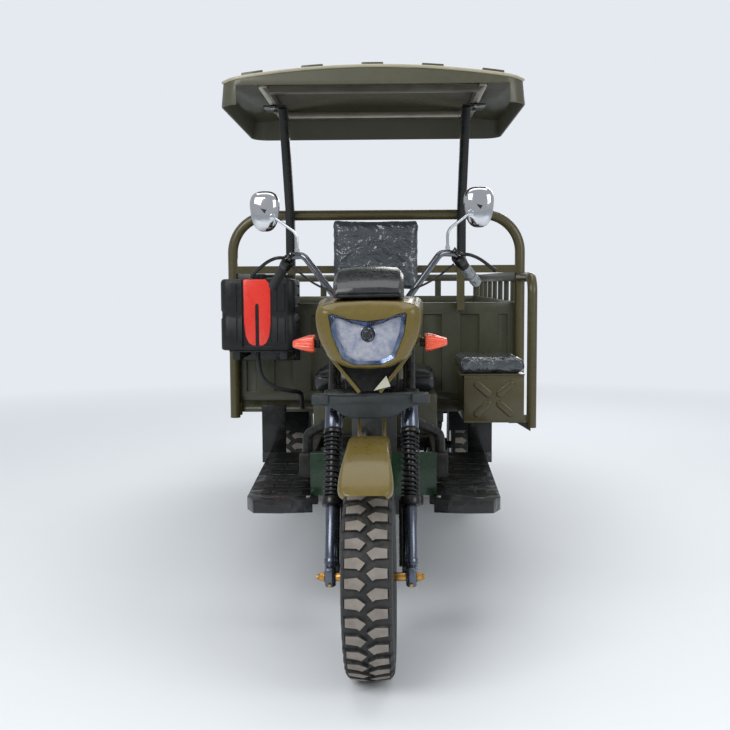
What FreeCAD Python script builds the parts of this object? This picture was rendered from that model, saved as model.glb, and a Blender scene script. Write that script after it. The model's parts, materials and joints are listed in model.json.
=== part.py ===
"""Cargo motor tricycle: one steered front wheel, two driven rear wheels, a driver's saddle under a
canopy, a padded side seat on its tool box, a water tank, and a cargo bed with a drop tailgate.

Millimetres. +Z is up, the vehicle faces -Y, +X is its left side. The origin is on the ground at the
middle of the vehicle's length and width."""

import FreeCAD, Part
import math
import os

V = FreeCAD.Vector
X_AXIS, Y_AXIS, Z_AXIS = V(1, 0, 0), V(0, 1, 0), V(0, 0, 1)

# ---- driving dimensions -------------------------------------------------------------------------
WHEELBASE = 2300.0
WHEEL_RADIUS = 285.0        # all three tyres
TYRE_WIDTH = 140.0
RIM_RADIUS = 165.0
RIM_WIDTH = 92.0
MUDGUARD_SIDE = 18.0        # of the rear mudguards beyond the tyres
MUDGUARD_CLEARANCE = 34.0   # between a leaf spring and the mudguard beside it

RAKE = 27.0                 # steering axis, degrees from vertical
LEG_LAG = 20.0              # fork leg line behind the axle
FORK_OFFSET = 45.0          # steering axis behind the legs, square to it
LEG_SPACING = 232.0         # between the fork legs
REST_STEER = -1.5           # degrees to the left that the steering is parked at

BED_SETBACK = 1250.0        # front face of the bed behind the front axle
BED_LENGTH = 2000.0
BED_HALF_WIDTH = 600.0
BED_FLOOR_Z = 640.0         # top of the floor
BED_WALL_HEIGHT = 400.0     # above the floor
FENCE_HEIGHT = 125.0        # fence above the walls
WALL = 28.0                 # thickness of a wall with its ribs
GATE_CLEARANCE = 6.0        # between the walls' back ends and the closed tailgate

RAIL_SPACING = 440.0        # between the middles of the chassis rails
RAIL_WIDTH = 50.0
RAIL_HEIGHT = 80.0
RAIL_Z = 480.0              # underside of the rails

HOOP_TUBE = 40.0            # diameter of the hoop's tube
HOOP_HALF_WIDTH = 577.0     # to the middle of its posts
HOOP_TOP_Z = 1392.0         # middle of the top bar
HOOP_LOW_BAR_Z = 1175.0
HOOP_FOOT_Z = 575.0
HOOP_CORNER = 150.0
STRUT_X = 340.0

STRUT_SIDE = 34.0           # square section of the canopy's struts

CANOPY_HALF_WIDTH = 512.0
CANOPY_SETBACK = 565.0      # front edge behind the front axle
CANOPY_LENGTH = 835.0
CANOPY_TOP_Z = 1830.0
CANOPY_ARCH = 42.0          # rise of the roof from its sides to its middle
CANOPY_SKIRT = 75.0         # height of its sides
CANOPY_SKIN = 5.0
CANOPY_RIB, CANOPY_RIB_HALF = 20.0, 36.0
CANOPY_RIBS = (-400.0, -200.0, 0.0, 200.0, 400.0)
CANOPY_RAIL_X = 370.0
CANOPY_RAIL = 26.0

FOOTBOARD_Z = 428.0         # top face
FOOTBOARD_SETBACK = 345.0   # front edge behind the front axle
FOOTBOARD_SKIRT = 42.0
UPRIGHT_PLATE = 6.0

SEAT_Z = 800.0              # top of the driver's cushion
SIDE_SEAT_Z = 845.0         # top of the side seat's cushion

GAP = 0.3                   # between pieces that lie face to face on different bodies, and soft ones
FIT = 0.05                  # radial clearance of a running fit

# ---- values worked out from them ----------------------------------------------------------------
FRONT_AXLE_Y = (WHEEL_RADIUS - BED_SETBACK - BED_LENGTH - GATE_CLEARANCE - WALL) / 2
REAR_AXLE_Y = FRONT_AXLE_Y + WHEELBASE
BED_FRONT = FRONT_AXLE_Y + BED_SETBACK
BED_REAR = BED_FRONT + BED_LENGTH
BED_UNDER_Z = RAIL_Z + RAIL_HEIGHT
HOOP_Y = BED_FRONT - HOOP_TUBE / 2
FOOTBOARD_INNER = (RAIL_SPACING - RAIL_WIDTH) / 2 + GAP
FOOTBOARD_FRONT = FRONT_AXLE_Y + FOOTBOARD_SETBACK
FOOTBOARD_REAR = BED_FRONT - UPRIGHT_PLATE
CANOPY_FRONT = FRONT_AXLE_Y + CANOPY_SETBACK
WALL_TOP_Z = BED_FLOOR_Z + BED_WALL_HEIGHT
FENCE_TOP_Z = WALL_TOP_Z + FENCE_HEIGHT
SIN_R, COS_R = math.sin(math.radians(RAKE)), math.cos(math.radians(RAKE))
STEER_DIR = V(0, SIN_R, COS_R)                       # up along the steering axis
STEER_AHEAD = V(0, -COS_R, SIN_R)                    # square to it, towards the front
LEG_BASE = V(0, FRONT_AXLE_Y + LEG_LAG, WHEEL_RADIUS)  # point of the leg line at axle height
STEER_BASE = LEG_BASE - STEER_AHEAD * FORK_OFFSET      # the same distance up the steering axis
SPRING_FROM, SPRING_TO = 228.0, 425.0                # along the legs, from LEG_BASE
CLAMP_LOW, CLAMP_HIGH = 545.0, 800.0                 # middles of the two clamps along the legs
CLAMP_HALF, CLAMP_AHEAD = 14.0, 34.0                 # half thickness, and reach ahead of the legs
STEM_R = 14.0
HEAD_R = 30.0
LEG_TUBE_R = 19.0
SPRING_R = 29.0
BAR_R, BAR_FIT = 11.0, 0.1
RISER = 62.0                                         # of the handlebar above the upper clamp's middle
PERCH_R, PERCH_HALF, PERCH_BACK = 22.0, 19.0, 141.0  # of a lever's perch, the last from the bar's end
CABLE_R, HOSE_R = 3.5, 9.0


FRAME_FRONT = FRONT_AXLE_Y + 445.0
RAIL_INNER = (RAIL_SPACING - RAIL_WIDTH) / 2         # inner face of a rail
LAMP_BAR = 25.0
GUARD_Z = (FOOTBOARD_Z + 2.0, 570.0)
SPRING_X = RAIL_SPACING / 2 + RAIL_WIDTH / 2 + 36.0
CROSS_DEPTH = 45.0
TRAY = 5.0                                           # thickness of the footboards
FOOTBOARD_BARS = [FRAME_FRONT, BED_FRONT - 240.0]
ENGINE_Y, ENGINE_HALF, ENGINE_TOP = FRONT_AXLE_Y + 560.0, 170.0, 520.0
SPINE_Z, SPINE_R, FUEL_TANK_Z = 765.0, 22.0, 795.0
PLATE_Z, PLATE_SPACING, PLATE_HOLE_R = RAIL_Z + 25.0, 180.0, 3.5
TOW_Z, TOW_PLATE, TOW_HOLE_R = RAIL_Z + 20.0, 14.0, 12.0
AXLE_TUBE_R = 34.0
LEAF_Z = WHEEL_RADIUS + AXLE_TUBE_R + 12.0
SPRING_HALF, SPRING_REACH = 27.0, 400.0              # hanger half width, spring half length
LAMP_BAR_Y = max(BED_REAR - 60.0, REAR_AXLE_Y + SPRING_REACH + 40.0)
LAST_CROSS_Y = min(REAR_AXLE_Y + 420.0, LAMP_BAR_Y - LAMP_BAR - CROSS_DEPTH - 10.0)   # clear of the bar
FRAME_CROSSES = [FRAME_FRONT, BED_FRONT + 30, REAR_AXLE_Y - 420, LAST_CROSS_Y]
REAR_TRACK = 2 * (SPRING_X + SPRING_HALF + MUDGUARD_CLEARANCE + TYRE_WIDTH / 2 + MUDGUARD_SIDE)
CUSHION = 90.0
CHANNEL, CHANNELS, CHANNEL_Z = 50.0, 7, BED_FLOOR_Z - 45.0
CHANNEL_TOP, FRONT_LIP = BED_FLOOR_Z - 5.0, 6.0
GATE_HINGES = (-460.0, 0.0, 460.0)
HINGE_Y, HINGE_Z = BED_REAR + GATE_CLEARANCE + WALL / 2, BED_FLOOR_Z - 12.0
HINGE_PIN_R, BARREL_R, BARREL_HALF = 6.0, 11.0, 20.0
LID_KNUCKLE = 14.0
RIB_PITCH = 140.0
SLAT, FENCE_PITCH = 36.0, 260.0
CROWN_HALF = CANOPY_HALF_WIDTH - CANOPY_SKIN - 7
CROWN_R = (CROWN_HALF ** 2 + CANOPY_ARCH ** 2) / (2 * CANOPY_ARCH)      # of the arch inside
CROWN_DROP = CROWN_R - math.sqrt(CROWN_R ** 2 - (CANOPY_RAIL_X + CANOPY_RAIL / 2) ** 2)
CANOPY_RAIL_Z = CANOPY_TOP_Z - CANOPY_SKIN - CROWN_DROP - CANOPY_RAIL - GAP


# ---- helpers ------------------------------------------------------------------------------------
def box(x, y, z):
    """A block between the two limits given for each axis."""
    return Part.makeBox(x[1] - x[0], y[1] - y[0], z[1] - z[0], V(x[0], y[0], z[0]))


def rod(a, b, radius):
    """A round bar from a to b."""
    return Part.makeCylinder(radius, (b - a).Length, a, b - a)


def disc(centre, axis, radius, length):
    """A cylinder centred on a point."""
    return Part.makeCylinder(radius, length, centre - axis * (length / 2), axis)


def path(points, radius):
    """A wire through the points, its corners rounded by tangent arcs."""
    edges = []
    start = points[0]
    for before, corner, after in zip(points, points[1:], points[2:]):
        a = (before - corner).normalize()
        b = (after - corner).normalize()
        half = a.getAngle(b) / 2
        if half > math.radians(89.9):
            continue
        reach = radius / math.tan(half)
        one, two = corner + a * reach, corner + b * reach
        middle = corner + (a + b).normalize() * (radius / math.sin(half) - radius)
        if (one - start).Length > 1e-6:
            edges.append(Part.LineSegment(start, one).toShape())
        edges.append(Part.Arc(one, middle, two).toShape())
        start = two
    edges.append(Part.LineSegment(start, points[-1]).toShape())
    return Part.Wire(edges)


def bent_tube(points, radius, tube_radius):
    """A round bar along a rounded path."""
    wire = path(points, radius)
    direction = (points[1] - points[0]).normalize()
    profile = Part.Face(Part.Wire(Part.Circle(points[0], direction, tube_radius).toShape()))
    return wire.makePipe(profile)


def fuse(shapes):
    """One solid from pieces that touch or overlap."""
    first = shapes[0]
    result = first.multiFuse(shapes[1:]) if len(shapes) > 1 else first
    return result.removeSplitter()


def mirrored(shape):
    """The same shape on the other side of the vehicle."""
    return shape.mirror(V(0, 0, 0), X_AXIS)


def both_sides(shape):
    return [shape, mirrored(shape)]


def profile_x(points, x_from, x_to):
    """A plate or block: a closed outline of (y, z) points, between two X planes."""
    wire = Part.makePolygon([V(x_from, y, z) for y, z in points + points[:1]])
    return Part.Face(wire).extrude(V(x_to - x_from, 0, 0))


def profile_y(points, y_from, y_to):
    """A closed outline of (x, z) points, between two Y planes."""
    wire = Part.makePolygon([V(x, y_from, z) for x, z in points + points[:1]])
    return Part.Face(wire).extrude(V(0, y_to - y_from, 0))


def rounded(shape, radius, test):
    """The shape with the edges rounded whose middle and direction pass the test."""
    edges = []
    for edge in shape.Edges:
        middle = edge.valueAt((edge.FirstParameter + edge.LastParameter) / 2)
        along = edge.tangentAt((edge.FirstParameter + edge.LastParameter) / 2)
        if test(middle, along):
            edges.append(edge)
    return shape.makeFillet(radius, edges)


def upright(middle, along):
    return abs(along.z) > 0.99


def lengthwise(middle, along):
    return abs(along.y) > 0.99


def crosswise(middle, along):
    return abs(along.x) > 0.99


def leg_point(x, along, ahead=0.0):
    """A point beside the fork: along the leg line from axle height, and ahead of it."""
    return LEG_BASE + V(x, 0, 0) + STEER_DIR * along + STEER_AHEAD * ahead


def in_fork_frame(shape, along):
    """A piece drawn level with the origin, tilted with the fork and put at that height on it."""
    shape.rotate(V(0, 0, 0), X_AXIS, -RAKE)
    shape.translate(leg_point(0, along))
    return shape


def steered(shape):
    """Turned with the steering to where it is parked."""
    turned = shape.copy()
    turned.rotate(STEER_BASE, STEER_DIR, REST_STEER)
    return turned


RISER_TOP = leg_point(0, CLAMP_HIGH + RISER - BAR_R, -20)


# ---- wheels -------------------------------------------------------------------------------------
def ring(profile, centre):
    """A closed outline of (x, radius) points spun about the wheel's axle."""
    wire = Part.makePolygon([centre + V(x, 0, r) for x, r in profile + profile[:1]])
    return Part.Face(wire).revolve(centre, X_AXIS, 360)


def tyre(centre):
    """A tyre with a rounded crown, seated on its rim."""
    w, r = TYRE_WIDTH / 2, WHEEL_RADIUS
    bead = RIM_RADIUS - 8
    seat = RIM_WIDTH / 2
    crown, shoulder, belly = r, r - 10, (r + bead) / 2 + 8
    half = [(0.0, crown), (0.45 * w, crown - 3), (0.8 * w, shoulder), (0.93 * w, shoulder - 18),
            (w, belly), (0.94 * w, belly - 28), (seat, bead + 14), (seat, bead)]
    outline = half + [(-x, z) for x, z in reversed(half) if x > 0]
    return ring(outline, centre)


def rim(centre, hub_half, hub_radius, inner_bore):
    """A pressed rim joined to its hub by a disc with six holes."""
    seat, bead = RIM_WIDTH / 2, RIM_RADIUS - 8 - GAP
    wall = 5.0
    barrel = ring([(-seat - 4, bead + 12), (-seat, bead), (seat, bead),
                   (seat, bead + 12), (seat + 4, bead + 12), (seat + 4, bead - wall),
                   (-seat - 4, bead - wall)], centre)
    web = disc(centre, X_AXIS, bead - wall + 1, 8.0)
    holes = [disc(centre + V(0, 95 * math.cos(a), 95 * math.sin(a)), X_AXIS, 16, 20)
             for a in [math.radians(60 * k + 30) for k in range(6)]]
    hub = disc(centre, X_AXIS, hub_radius, 2 * hub_half)
    body = fuse([barrel, web.cut(Part.makeCompound(holes)), hub])
    return body.cut(disc(centre, X_AXIS, inner_bore, 4 * hub_half))


AXLE_R = 8.0
FRONT_HUB_HALF = 62.0
FRONT_WHEEL = V(0, FRONT_AXLE_Y, WHEEL_RADIUS)
REAR_STUB_R = 19.0
REAR_HUB_HALF = 44.0


def rear_wheel_centre(side):
    return V(side * REAR_TRACK / 2, REAR_AXLE_Y, WHEEL_RADIUS)


# ---- steering -----------------------------------------------------------------------------------
def fork_legs():
    """Both silver lower legs with the black bars inside them, their axle blocks and the axle."""
    half = LEG_SPACING / 2
    pieces = []
    for x in (-half, half):
        inward = -1 if x > 0 else 1
        block = box((x - 15, x + 15), (FRONT_AXLE_Y - 22, FRONT_AXLE_Y + 34),
                    (WHEEL_RADIUS - 26, WHEEL_RADIUS + 30))
        pieces.append(rounded(block, 10, crosswise))
        pieces.append(rod(leg_point(x, 5), leg_point(x, CLAMP_LOW - CLAMP_HALF), LEG_TUBE_R))
        bar_x = x + inward * 26
        pieces.append(rod(leg_point(bar_x, 25, -12), leg_point(bar_x, SPRING_FROM - 4, -12), 9))
        pieces.append(box((min(x, bar_x), max(x, bar_x)), (FRONT_AXLE_Y + 6, FRONT_AXLE_Y + 42),
                          (WHEEL_RADIUS + 8, WHEEL_RADIUS + 28)))
        pieces.append(rod(leg_point(x, SPRING_FROM - 26), leg_point(x, SPRING_FROM - GAP), SPRING_R + 2))
        pieces.append(rod(leg_point(x, SPRING_TO + GAP), leg_point(x, CLAMP_LOW - CLAMP_HALF), SPRING_R + 1))
    pieces.append(disc(FRONT_WHEEL, X_AXIS, AXLE_R - FIT, LEG_SPACING + 78))
    for side in (-1, 1):
        pieces.append(disc(FRONT_WHEEL + V(side * (FRONT_HUB_HALF + 20), 0, 0), X_AXIS, 13, 36))
        pieces.append(disc(FRONT_WHEEL + V(side * (half + 22), 0, 0), X_AXIS, 13, 14))
    return fuse(pieces)


def fork_springs():
    """The coil springs outside the legs, as plain sleeves over the tubes."""
    sleeves = []
    for x in (-LEG_SPACING / 2, LEG_SPACING / 2):
        outer = rod(leg_point(x, SPRING_FROM), leg_point(x, SPRING_TO), SPRING_R)
        bore = rod(leg_point(x, SPRING_FROM - 5), leg_point(x, SPRING_TO + 5), LEG_TUBE_R + GAP)
        sleeves.append(outer.cut(bore))
    return Part.makeCompound(sleeves)


def steering_stem():
    """Stem and both clamps, with the handlebar's risers on the upper one."""
    half = LEG_SPACING / 2
    pieces = []
    for along in (CLAMP_LOW, CLAMP_HIGH):
        wide = half + 30
        outline = [(-wide, -CLAMP_AHEAD), (wide, -CLAMP_AHEAD), (wide, 20), (44, 76), (-44, 76), (-wide, 20)]
        plate = Part.Face(Part.makePolygon([V(x, y, -CLAMP_HALF) for x, y in outline + outline[:1]]))
        plate = plate.extrude(V(0, 0, 2 * CLAMP_HALF))
        pieces.append(in_fork_frame(rounded(plate, 18, upright), along))
    pieces.append(rod(STEER_BASE + STEER_DIR * (CLAMP_LOW - 5), STEER_BASE + STEER_DIR * (CLAMP_HIGH + 18),
                      STEM_R))
    for x in (-half, half):
        pieces.append(rod(leg_point(x, CLAMP_LOW), leg_point(x, CLAMP_HIGH + 22), LEG_TUBE_R))
    for x in (-45, 45):
        foot = leg_point(x, CLAMP_HIGH, -20)
        pieces.append(rod(foot, foot + STEER_DIR * RISER, 16))
    bar = rod(V(-90, RISER_TOP.y, RISER_TOP.z), V(90, RISER_TOP.y, RISER_TOP.z), BAR_R + GAP)
    return fuse(pieces).cut(bar)


def front_fender():
    """A pressed arc over the wheel with turned-down sides, on two stays to the lower clamp."""
    centre = FRONT_WHEEL + V(0, 20, 10)
    outer, half, skin, flange = 390.0, 74.0, 4.0, 34.0
    front, back, stay = math.radians(134), math.radians(50), math.radians(60)
    shell = disc(centre, X_AXIS, outer, 2 * half)
    shell = shell.cut(disc(centre, X_AXIS, outer - skin, 2 * (half - skin)))
    shell = shell.cut(disc(centre, X_AXIS, outer - flange, 3 * half))
    far = 900.0
    wedge = profile_x([(centre.y, centre.z),
                       (centre.y + far * math.cos(front), centre.z + far * math.sin(front)),
                       (centre.y, centre.z + far),
                       (centre.y + far * math.cos(back), centre.z + far * math.sin(back))], -200, 200)
    shell = shell.common(wedge)
    foot = V(0, centre.y + (outer - skin) * math.cos(stay), centre.z + (outer - skin) * math.sin(stay))
    head = leg_point(0, CLAMP_LOW - CLAMP_HALF - GAP, -5)
    stays = [rod(foot + V(x, 0, 0), foot + V(x, 0, 0) + STEER_DIR * ((head - foot).dot(STEER_DIR)), 6)
             for x in (-38, 38)]
    return fuse([shell] + stays)


def headlight_fairing():
    """The mask round the headlamp, a hollow shell open to the back, with an ear to each fork tube."""
    y0 = FRONT_AXLE_Y + MASK_SETBACK
    inner = loft_y([(scaled(MASK_FRONT, 0.95), y0 + 6), (scaled(MASK_BACK, 0.955), y0 + MASK_DEPTH + 2)])
    window = loft_y([(LENS_OUTLINE, y0 - 10), (LENS_OUTLINE, y0 + 20)])
    shell = mask_volume().cut(inner).cut(window)
    ears = []
    for x in (-LEG_SPACING / 2, LEG_SPACING / 2):
        along = (EAR_Z - WHEEL_RADIUS) / COS_R
        tube = leg_point(x, along)
        out = 1 if x > 0 else -1
        ring = rod(leg_point(x, along - 16), leg_point(x, along + 16), LEG_TUBE_R + 6)
        plate = box((min(x + out * 24, x + out * 38), max(x + out * 24, x + out * 38)),
                    (y0 + MASK_DEPTH - 40, tube.y), (EAR_Z - 14, EAR_Z + 14))
        bridge = box((min(x, x + out * 38), max(x, x + out * 38)), (tube.y - 8, tube.y + 8),
                     (EAR_Z - 14, EAR_Z + 14))
        hole = rod(leg_point(x, along - 60), leg_point(x, along + 60), LEG_TUBE_R + GAP)
        ears.append(fuse([ring, plate, bridge]).cut(hole))
    return fuse([shell] + ears)


def mask_volume():
    """The mask's outer volume."""
    y0 = FRONT_AXLE_Y + MASK_SETBACK
    return loft_y([(MASK_FRONT, y0), (MASK_BACK, y0 + MASK_DEPTH)])


def scaled(outline, share):
    """An outline of (x, z) points drawn in towards the lamp's middle."""
    return [(x * share, LAMP_Z + (z - LAMP_Z) * share) for x, z in outline]


MASK_SETBACK, MASK_DEPTH = 70.0, 210.0               # of the mask behind the front axle
LAMP_Z, EAR_Z = 965.0, 945.0
MASK_HALF = LEG_SPACING / 2 + 46.0                   # half width of the mask's back
MASK_FRONT = [(12 - MASK_HALF, 1060), (MASK_HALF - 12, 1060), (MASK_HALF - 18, 965), (MASK_HALF - 58, 890),
              (0, 872), (58 - MASK_HALF, 890), (18 - MASK_HALF, 965)]
MASK_BACK = [(-MASK_HALF, 1078), (MASK_HALF, 1078), (MASK_HALF - 4, 960), (MASK_HALF - 38, 895),
             (0, 876), (38 - MASK_HALF, 895), (4 - MASK_HALF, 960)]
LENS_OUTLINE = [(-113, 1040), (-60, 1018), (0, 1010), (60, 1018), (113, 1040), (104, 975), (76, 905),
                (38, 886), (-38, 886), (-76, 905), (-104, 975)]


def loft_y(sections):
    """A ruled solid through closed outlines of (x, z) points at their Y planes."""
    wires = [Part.makePolygon([V(x, y, z) for x, z in pts + pts[:1]]) for pts, y in sections]
    return Part.makeLoft(wires, True, True)


def headlight():
    """The headlamp's glass and bowl as one body, filling the mask's window."""
    y0 = FRONT_AXLE_Y + MASK_SETBACK
    edge = scaled(LENS_OUTLINE, 0.995)
    return loft_y([(scaled(LENS_OUTLINE, 0.93), y0 - 14), (edge, y0 - 2), (edge, y0 + 6 - GAP),
                   (scaled(LENS_OUTLINE, 0.6), y0 + 96)])


def instrument_cowl():
    """The dark dash visor on top of the mask."""
    y0 = FRONT_AXLE_Y + MASK_SETBACK + 40
    low = 1078 + GAP
    front = [(-92, low), (92, low), (98, 1094), (88, 1110), (-88, 1110), (-98, 1094)]
    back = [(-104, low), (104, low), (112, 1130), (88, 1172), (-88, 1172), (-112, 1130)]
    tail = [(-94, low), (94, low), (100, 1122), (80, 1158), (-80, 1158), (-100, 1122)]
    return loft_y([(front, y0), (back, y0 + 150), (tail, y0 + 225)])


def fork_cover():
    """The grey cover across the fork below the headlamp, on two lugs of the lower clamp."""
    y0 = FRONT_AXLE_Y + 150
    outline = [(-172, 797), (172, 797), (176, 788), (176, 756), (118, 752), (80, 726), (52, 718),
               (-52, 718), (-80, 726), (-118, 752), (-176, 756), (-176, 788)]
    plate = profile_y(outline, y0, y0 + 52)
    reach = (-CLAMP_AHEAD - 46, -CLAMP_AHEAD)
    lugs = [in_fork_frame(box((x - 15, x + 15), reach, (-CLAMP_HALF, -2)), CLAMP_LOW) for x in (-60, 60)]
    return fuse([plate] + lugs)


def turn_signals():
    """A winker at each side of the mask, its stalk ending on the mask's side."""
    lamps = []
    y = FRONT_AXLE_Y + 170
    for s in (-1, 1):
        stalk = rod(V(s * (MASK_HALF - 32), y + 30, 942), V(s * (MASK_HALF + 4), y + 30, 942), 12)
        lamp = loft_x([([(y - 14, 916), (y + 74, 916), (y + 74, 968), (y - 14, 968)], s * (MASK_HALF + 2)),
                       ([(y + 2, 930), (y + 50, 930), (y + 50, 950), (y + 2, 950)], s * (MASK_HALF + 70))])
        lamps.append(fuse([stalk, lamp]).cut(mask_volume()))
    return Part.makeCompound(lamps)


def loft_x(sections):
    """A ruled solid through closed outlines of (y, z) points at their X planes."""
    wires = [Part.makePolygon([V(x, y, z) for y, z in pts + pts[:1]]) for pts, x in sections]
    return Part.makeLoft(wires, True, True)


def bar_points(side):
    """The handlebar's corner points from the middle out, on one side."""
    c = RISER_TOP
    return [V(0, c.y, c.z), V(side * 88, c.y, c.z), V(side * 222, c.y + 30, 1214),
            V(side * 268, c.y + 60, 1212), V(side * 345, c.y + 190, 1118)]


def handlebar():
    left, right = bar_points(-1), bar_points(1)
    return bent_tube(list(reversed(left)) + right[1:], 30, BAR_R)


def grips():
    made = []
    for s in (-1, 1):
        a, b = bar_points(s)[3], bar_points(s)[4]
        u = (b - a).normalize()
        sleeve = rod(b - u * 118, b + u * 6, 17).cut(rod(b - u * 130, b, BAR_R + BAR_FIT))
        made.append(sleeve)
    return Part.makeCompound(made)


def perch_place(side):
    """The middle of a lever's perch, and the grip's direction there."""
    a, b = bar_points(side)[3], bar_points(side)[4]
    u = (b - a).normalize()
    return b - u * PERCH_BACK, u


def control_levers():
    """A perch with switches and a curved lever at each side."""
    made = []
    for s in (-1, 1):
        middle, u = perch_place(s)
        perch = rod(middle - u * PERCH_HALF, middle + u * PERCH_HALF, PERCH_R)
        forward = (V(0, -1, 0.35)).normalize()
        root = middle + forward * 17
        knuckle = root + forward * 29
        lever = bent_tube([root, knuckle, knuckle + V(s * 62, 14, -12), knuckle + V(s * 118, 62, -52)], 9, 6)
        bore = rod(middle - u * 50, middle + u * 50, BAR_R + BAR_FIT)
        made.append(fuse([perch, lever]).cut(bore))
    return Part.makeCompound(made)


def cable(points, radius):
    """A cable along the points, each bend as wide as its two runs allow."""
    edges = []
    start = points[0]
    for before, corner, after in zip(points, points[1:], points[2:]):
        a, b = before - corner, after - corner
        reach = 0.45 * min(a.Length, b.Length)
        half = a.getAngle(b) / 2
        bend = reach * math.tan(half)
        a.normalize()
        b.normalize()
        one, two = corner + a * reach, corner + b * reach
        middle = corner + (a + b).normalize() * (bend / math.sin(half) - bend)
        edges.append(Part.LineSegment(start, one).toShape())
        edges.append(Part.Arc(one, middle, two).toShape())
        start = two
        print("bend radius", round(bend, 1), "of a cable of radius", radius)
    edges.append(Part.LineSegment(start, points[-1]).toShape())
    wire = Part.Wire(edges)
    section = Part.Circle(points[0], (points[1] - points[0]).normalize(), radius)
    profile = Part.Face(Part.Wire(section.toShape()))
    tube = wire.makePipe(profile)
    print("cable volume", round(tube.Volume), "section times length", round(profile.Area * wire.Length))
    return tube


def control_cables():
    """A cable from each perch, in behind the mask and down inside the leg to the lower clamp."""
    made = []
    for s in (-1, 1):
        middle, u = perch_place(s)
        out = u.cross(Y_AXIS).normalize() * -s
        start = middle + out * (PERCH_R + GAP)
        points = [start, start + out * 40, V(s * 198, middle.y - 84, middle.z - 64),
                  V(s * 158, middle.y - 130, middle.z - 84), leg_point(s * 120, 880, 60),
                  leg_point(s * 92, 815, 52), leg_point(s * 84, 740, 40), leg_point(s * 80, 660, 14),
                  leg_point(s * 80, 604, 0),
                  leg_point(s * 80, CLAMP_LOW + CLAMP_HALF + GAP, 0)]
        made.append(cable(points, CABLE_R))
    return Part.makeCompound(made)


def mirrors():
    made = []
    for s in (-1, 1):
        root = (bar_points(s)[2] + bar_points(s)[3]) * 0.5 + V(0, 0, BAR_R + GAP)
        elbow = root + V(0, 0, 62)
        neck = V(s * 318, elbow.y - 14, 1352)
        stem = bent_tube([root, elbow, neck], 18, 5)
        head = loft_y([([(s * 286, 1298), (s * 398, 1298), (s * 404, 1418), (s * 296, 1428)], neck.y - 26),
                       ([(s * 282, 1290), (s * 402, 1290), (s * 410, 1424), (s * 290, 1436)], neck.y + 10)])
        made.append(fuse([stem, head]))
    return Part.makeCompound(made)


# ---- chassis ------------------------------------------------------------------------------------
def frame_rails():
    """The two box rails from the front guard to the lamp bar."""
    x, y = (RAIL_INNER, RAIL_INNER + RAIL_WIDTH), (FRAME_FRONT, LAMP_BAR_Y - LAMP_BAR)
    return Part.makeCompound(both_sides(box(x, y, (RAIL_Z, RAIL_Z + RAIL_HEIGHT))))


def cross_members():
    """What joins the rails: cross tubes, the bars under the footboards on their hangers, the engine's
    mounts, and the lamp bar with its plate holes and the towing eye."""
    bar_z = (FOOTBOARD_Z - TRAY - 30, FOOTBOARD_Z - TRAY)
    made = []
    cross_z = (RAIL_Z + 10, RAIL_Z + RAIL_HEIGHT - 10)
    for y in FRAME_CROSSES:
        made.append(box((-RAIL_INNER, RAIL_INNER), (y, y + CROSS_DEPTH), cross_z))
    for y in FOOTBOARD_BARS:
        for side in (1, -1):
            bar = box((RAIL_INNER - 10, 395), (y, y + 34), bar_z)
            hanger = box((RAIL_INNER - 10, RAIL_INNER), (y, y + 34), (bar_z[0], RAIL_Z + 60))
            piece = fuse([bar, hanger])
            made.append(piece if side > 0 else mirrored(piece))
    made[0] = fuse([made[0]] + made[len(FRAME_CROSSES):len(FRAME_CROSSES) + 2])
    del made[len(FRAME_CROSSES):len(FRAME_CROSSES) + 2]
    made += both_sides(box((ENGINE_HALF, RAIL_INNER), (ENGINE_Y + 95, ENGINE_Y + 135), (470, 515)))
    return Part.makeCompound(made + [lamp_bar()])


def lamp_bar():
    """The bar across the rails' back ends."""
    y = LAMP_BAR_Y
    bar = box((-470, 470), (y - LAMP_BAR, y), (RAIL_Z - 10, RAIL_Z + 60))
    tow = box((-32, 32), (y - 1, y + 50), (TOW_Z, TOW_Z + TOW_PLATE))
    tow = rounded(tow, 20, lambda m, a: upright(m, a) and m.y > y + 40)
    apart = PLATE_SPACING / 2
    holes = [disc(V(x, y, PLATE_Z), Y_AXIS, PLATE_HOLE_R, 80) for x in (-apart, apart)]
    eye = disc(V(0, y + 24, TOW_Z), Z_AXIS, TOW_HOLE_R, 80)
    return fuse([bar, tow]).cut(Part.makeCompound(holes + [eye]))


def head_frame():
    """Steering head, two down tubes onto the rails, and the spine under the tank to its cross tie."""
    low = STEER_BASE + STEER_DIR * (CLAMP_LOW + CLAMP_HALF + 8)
    high = STEER_BASE + STEER_DIR * (CLAMP_HIGH - CLAMP_HALF - 8)
    half = RAIL_SPACING / 2
    tubes = []
    for s in (-1, 1):
        start = STEER_BASE + STEER_DIR * (CLAMP_LOW + 70) + V(s * 10, 16, 0)
        foot = V(s * half, FRAME_FRONT + 50, RAIL_Z + RAIL_HEIGHT)
        knee = V(s * 120, foot.y - 60, foot.z + 120)
        tubes.append(bent_tube([start, knee, foot + V(0, 0, 60), foot], 30, 17))
    tie_y = FRONT_AXLE_Y + 812
    tie_top = RAIL_Z + RAIL_HEIGHT
    spine = bent_tube([STEER_BASE + STEER_DIR * 650 + V(0, 12, 0), V(0, FRONT_AXLE_Y + 500, SPINE_Z),
                       V(0, tie_y + 23, SPINE_Z), V(0, tie_y + 23, tie_top - 2)], 40, SPINE_R)
    tie = box((-RAIL_INNER, RAIL_INNER), (tie_y, tie_y + 46), (ENGINE_TOP + 2, tie_top))
    places = (FRONT_AXLE_Y + 570, FRONT_AXLE_Y + 740)
    pads = [box((-25, 25), (y, y + 40), (SPINE_Z, FUEL_TANK_Z)) for y in places]
    bore = rod(low - STEER_DIR * 5, high + STEER_DIR * 5, STEM_R + FIT)
    return fuse([rod(low, high, HEAD_R)] + tubes + [spine, tie] + pads).cut(bore)


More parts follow.
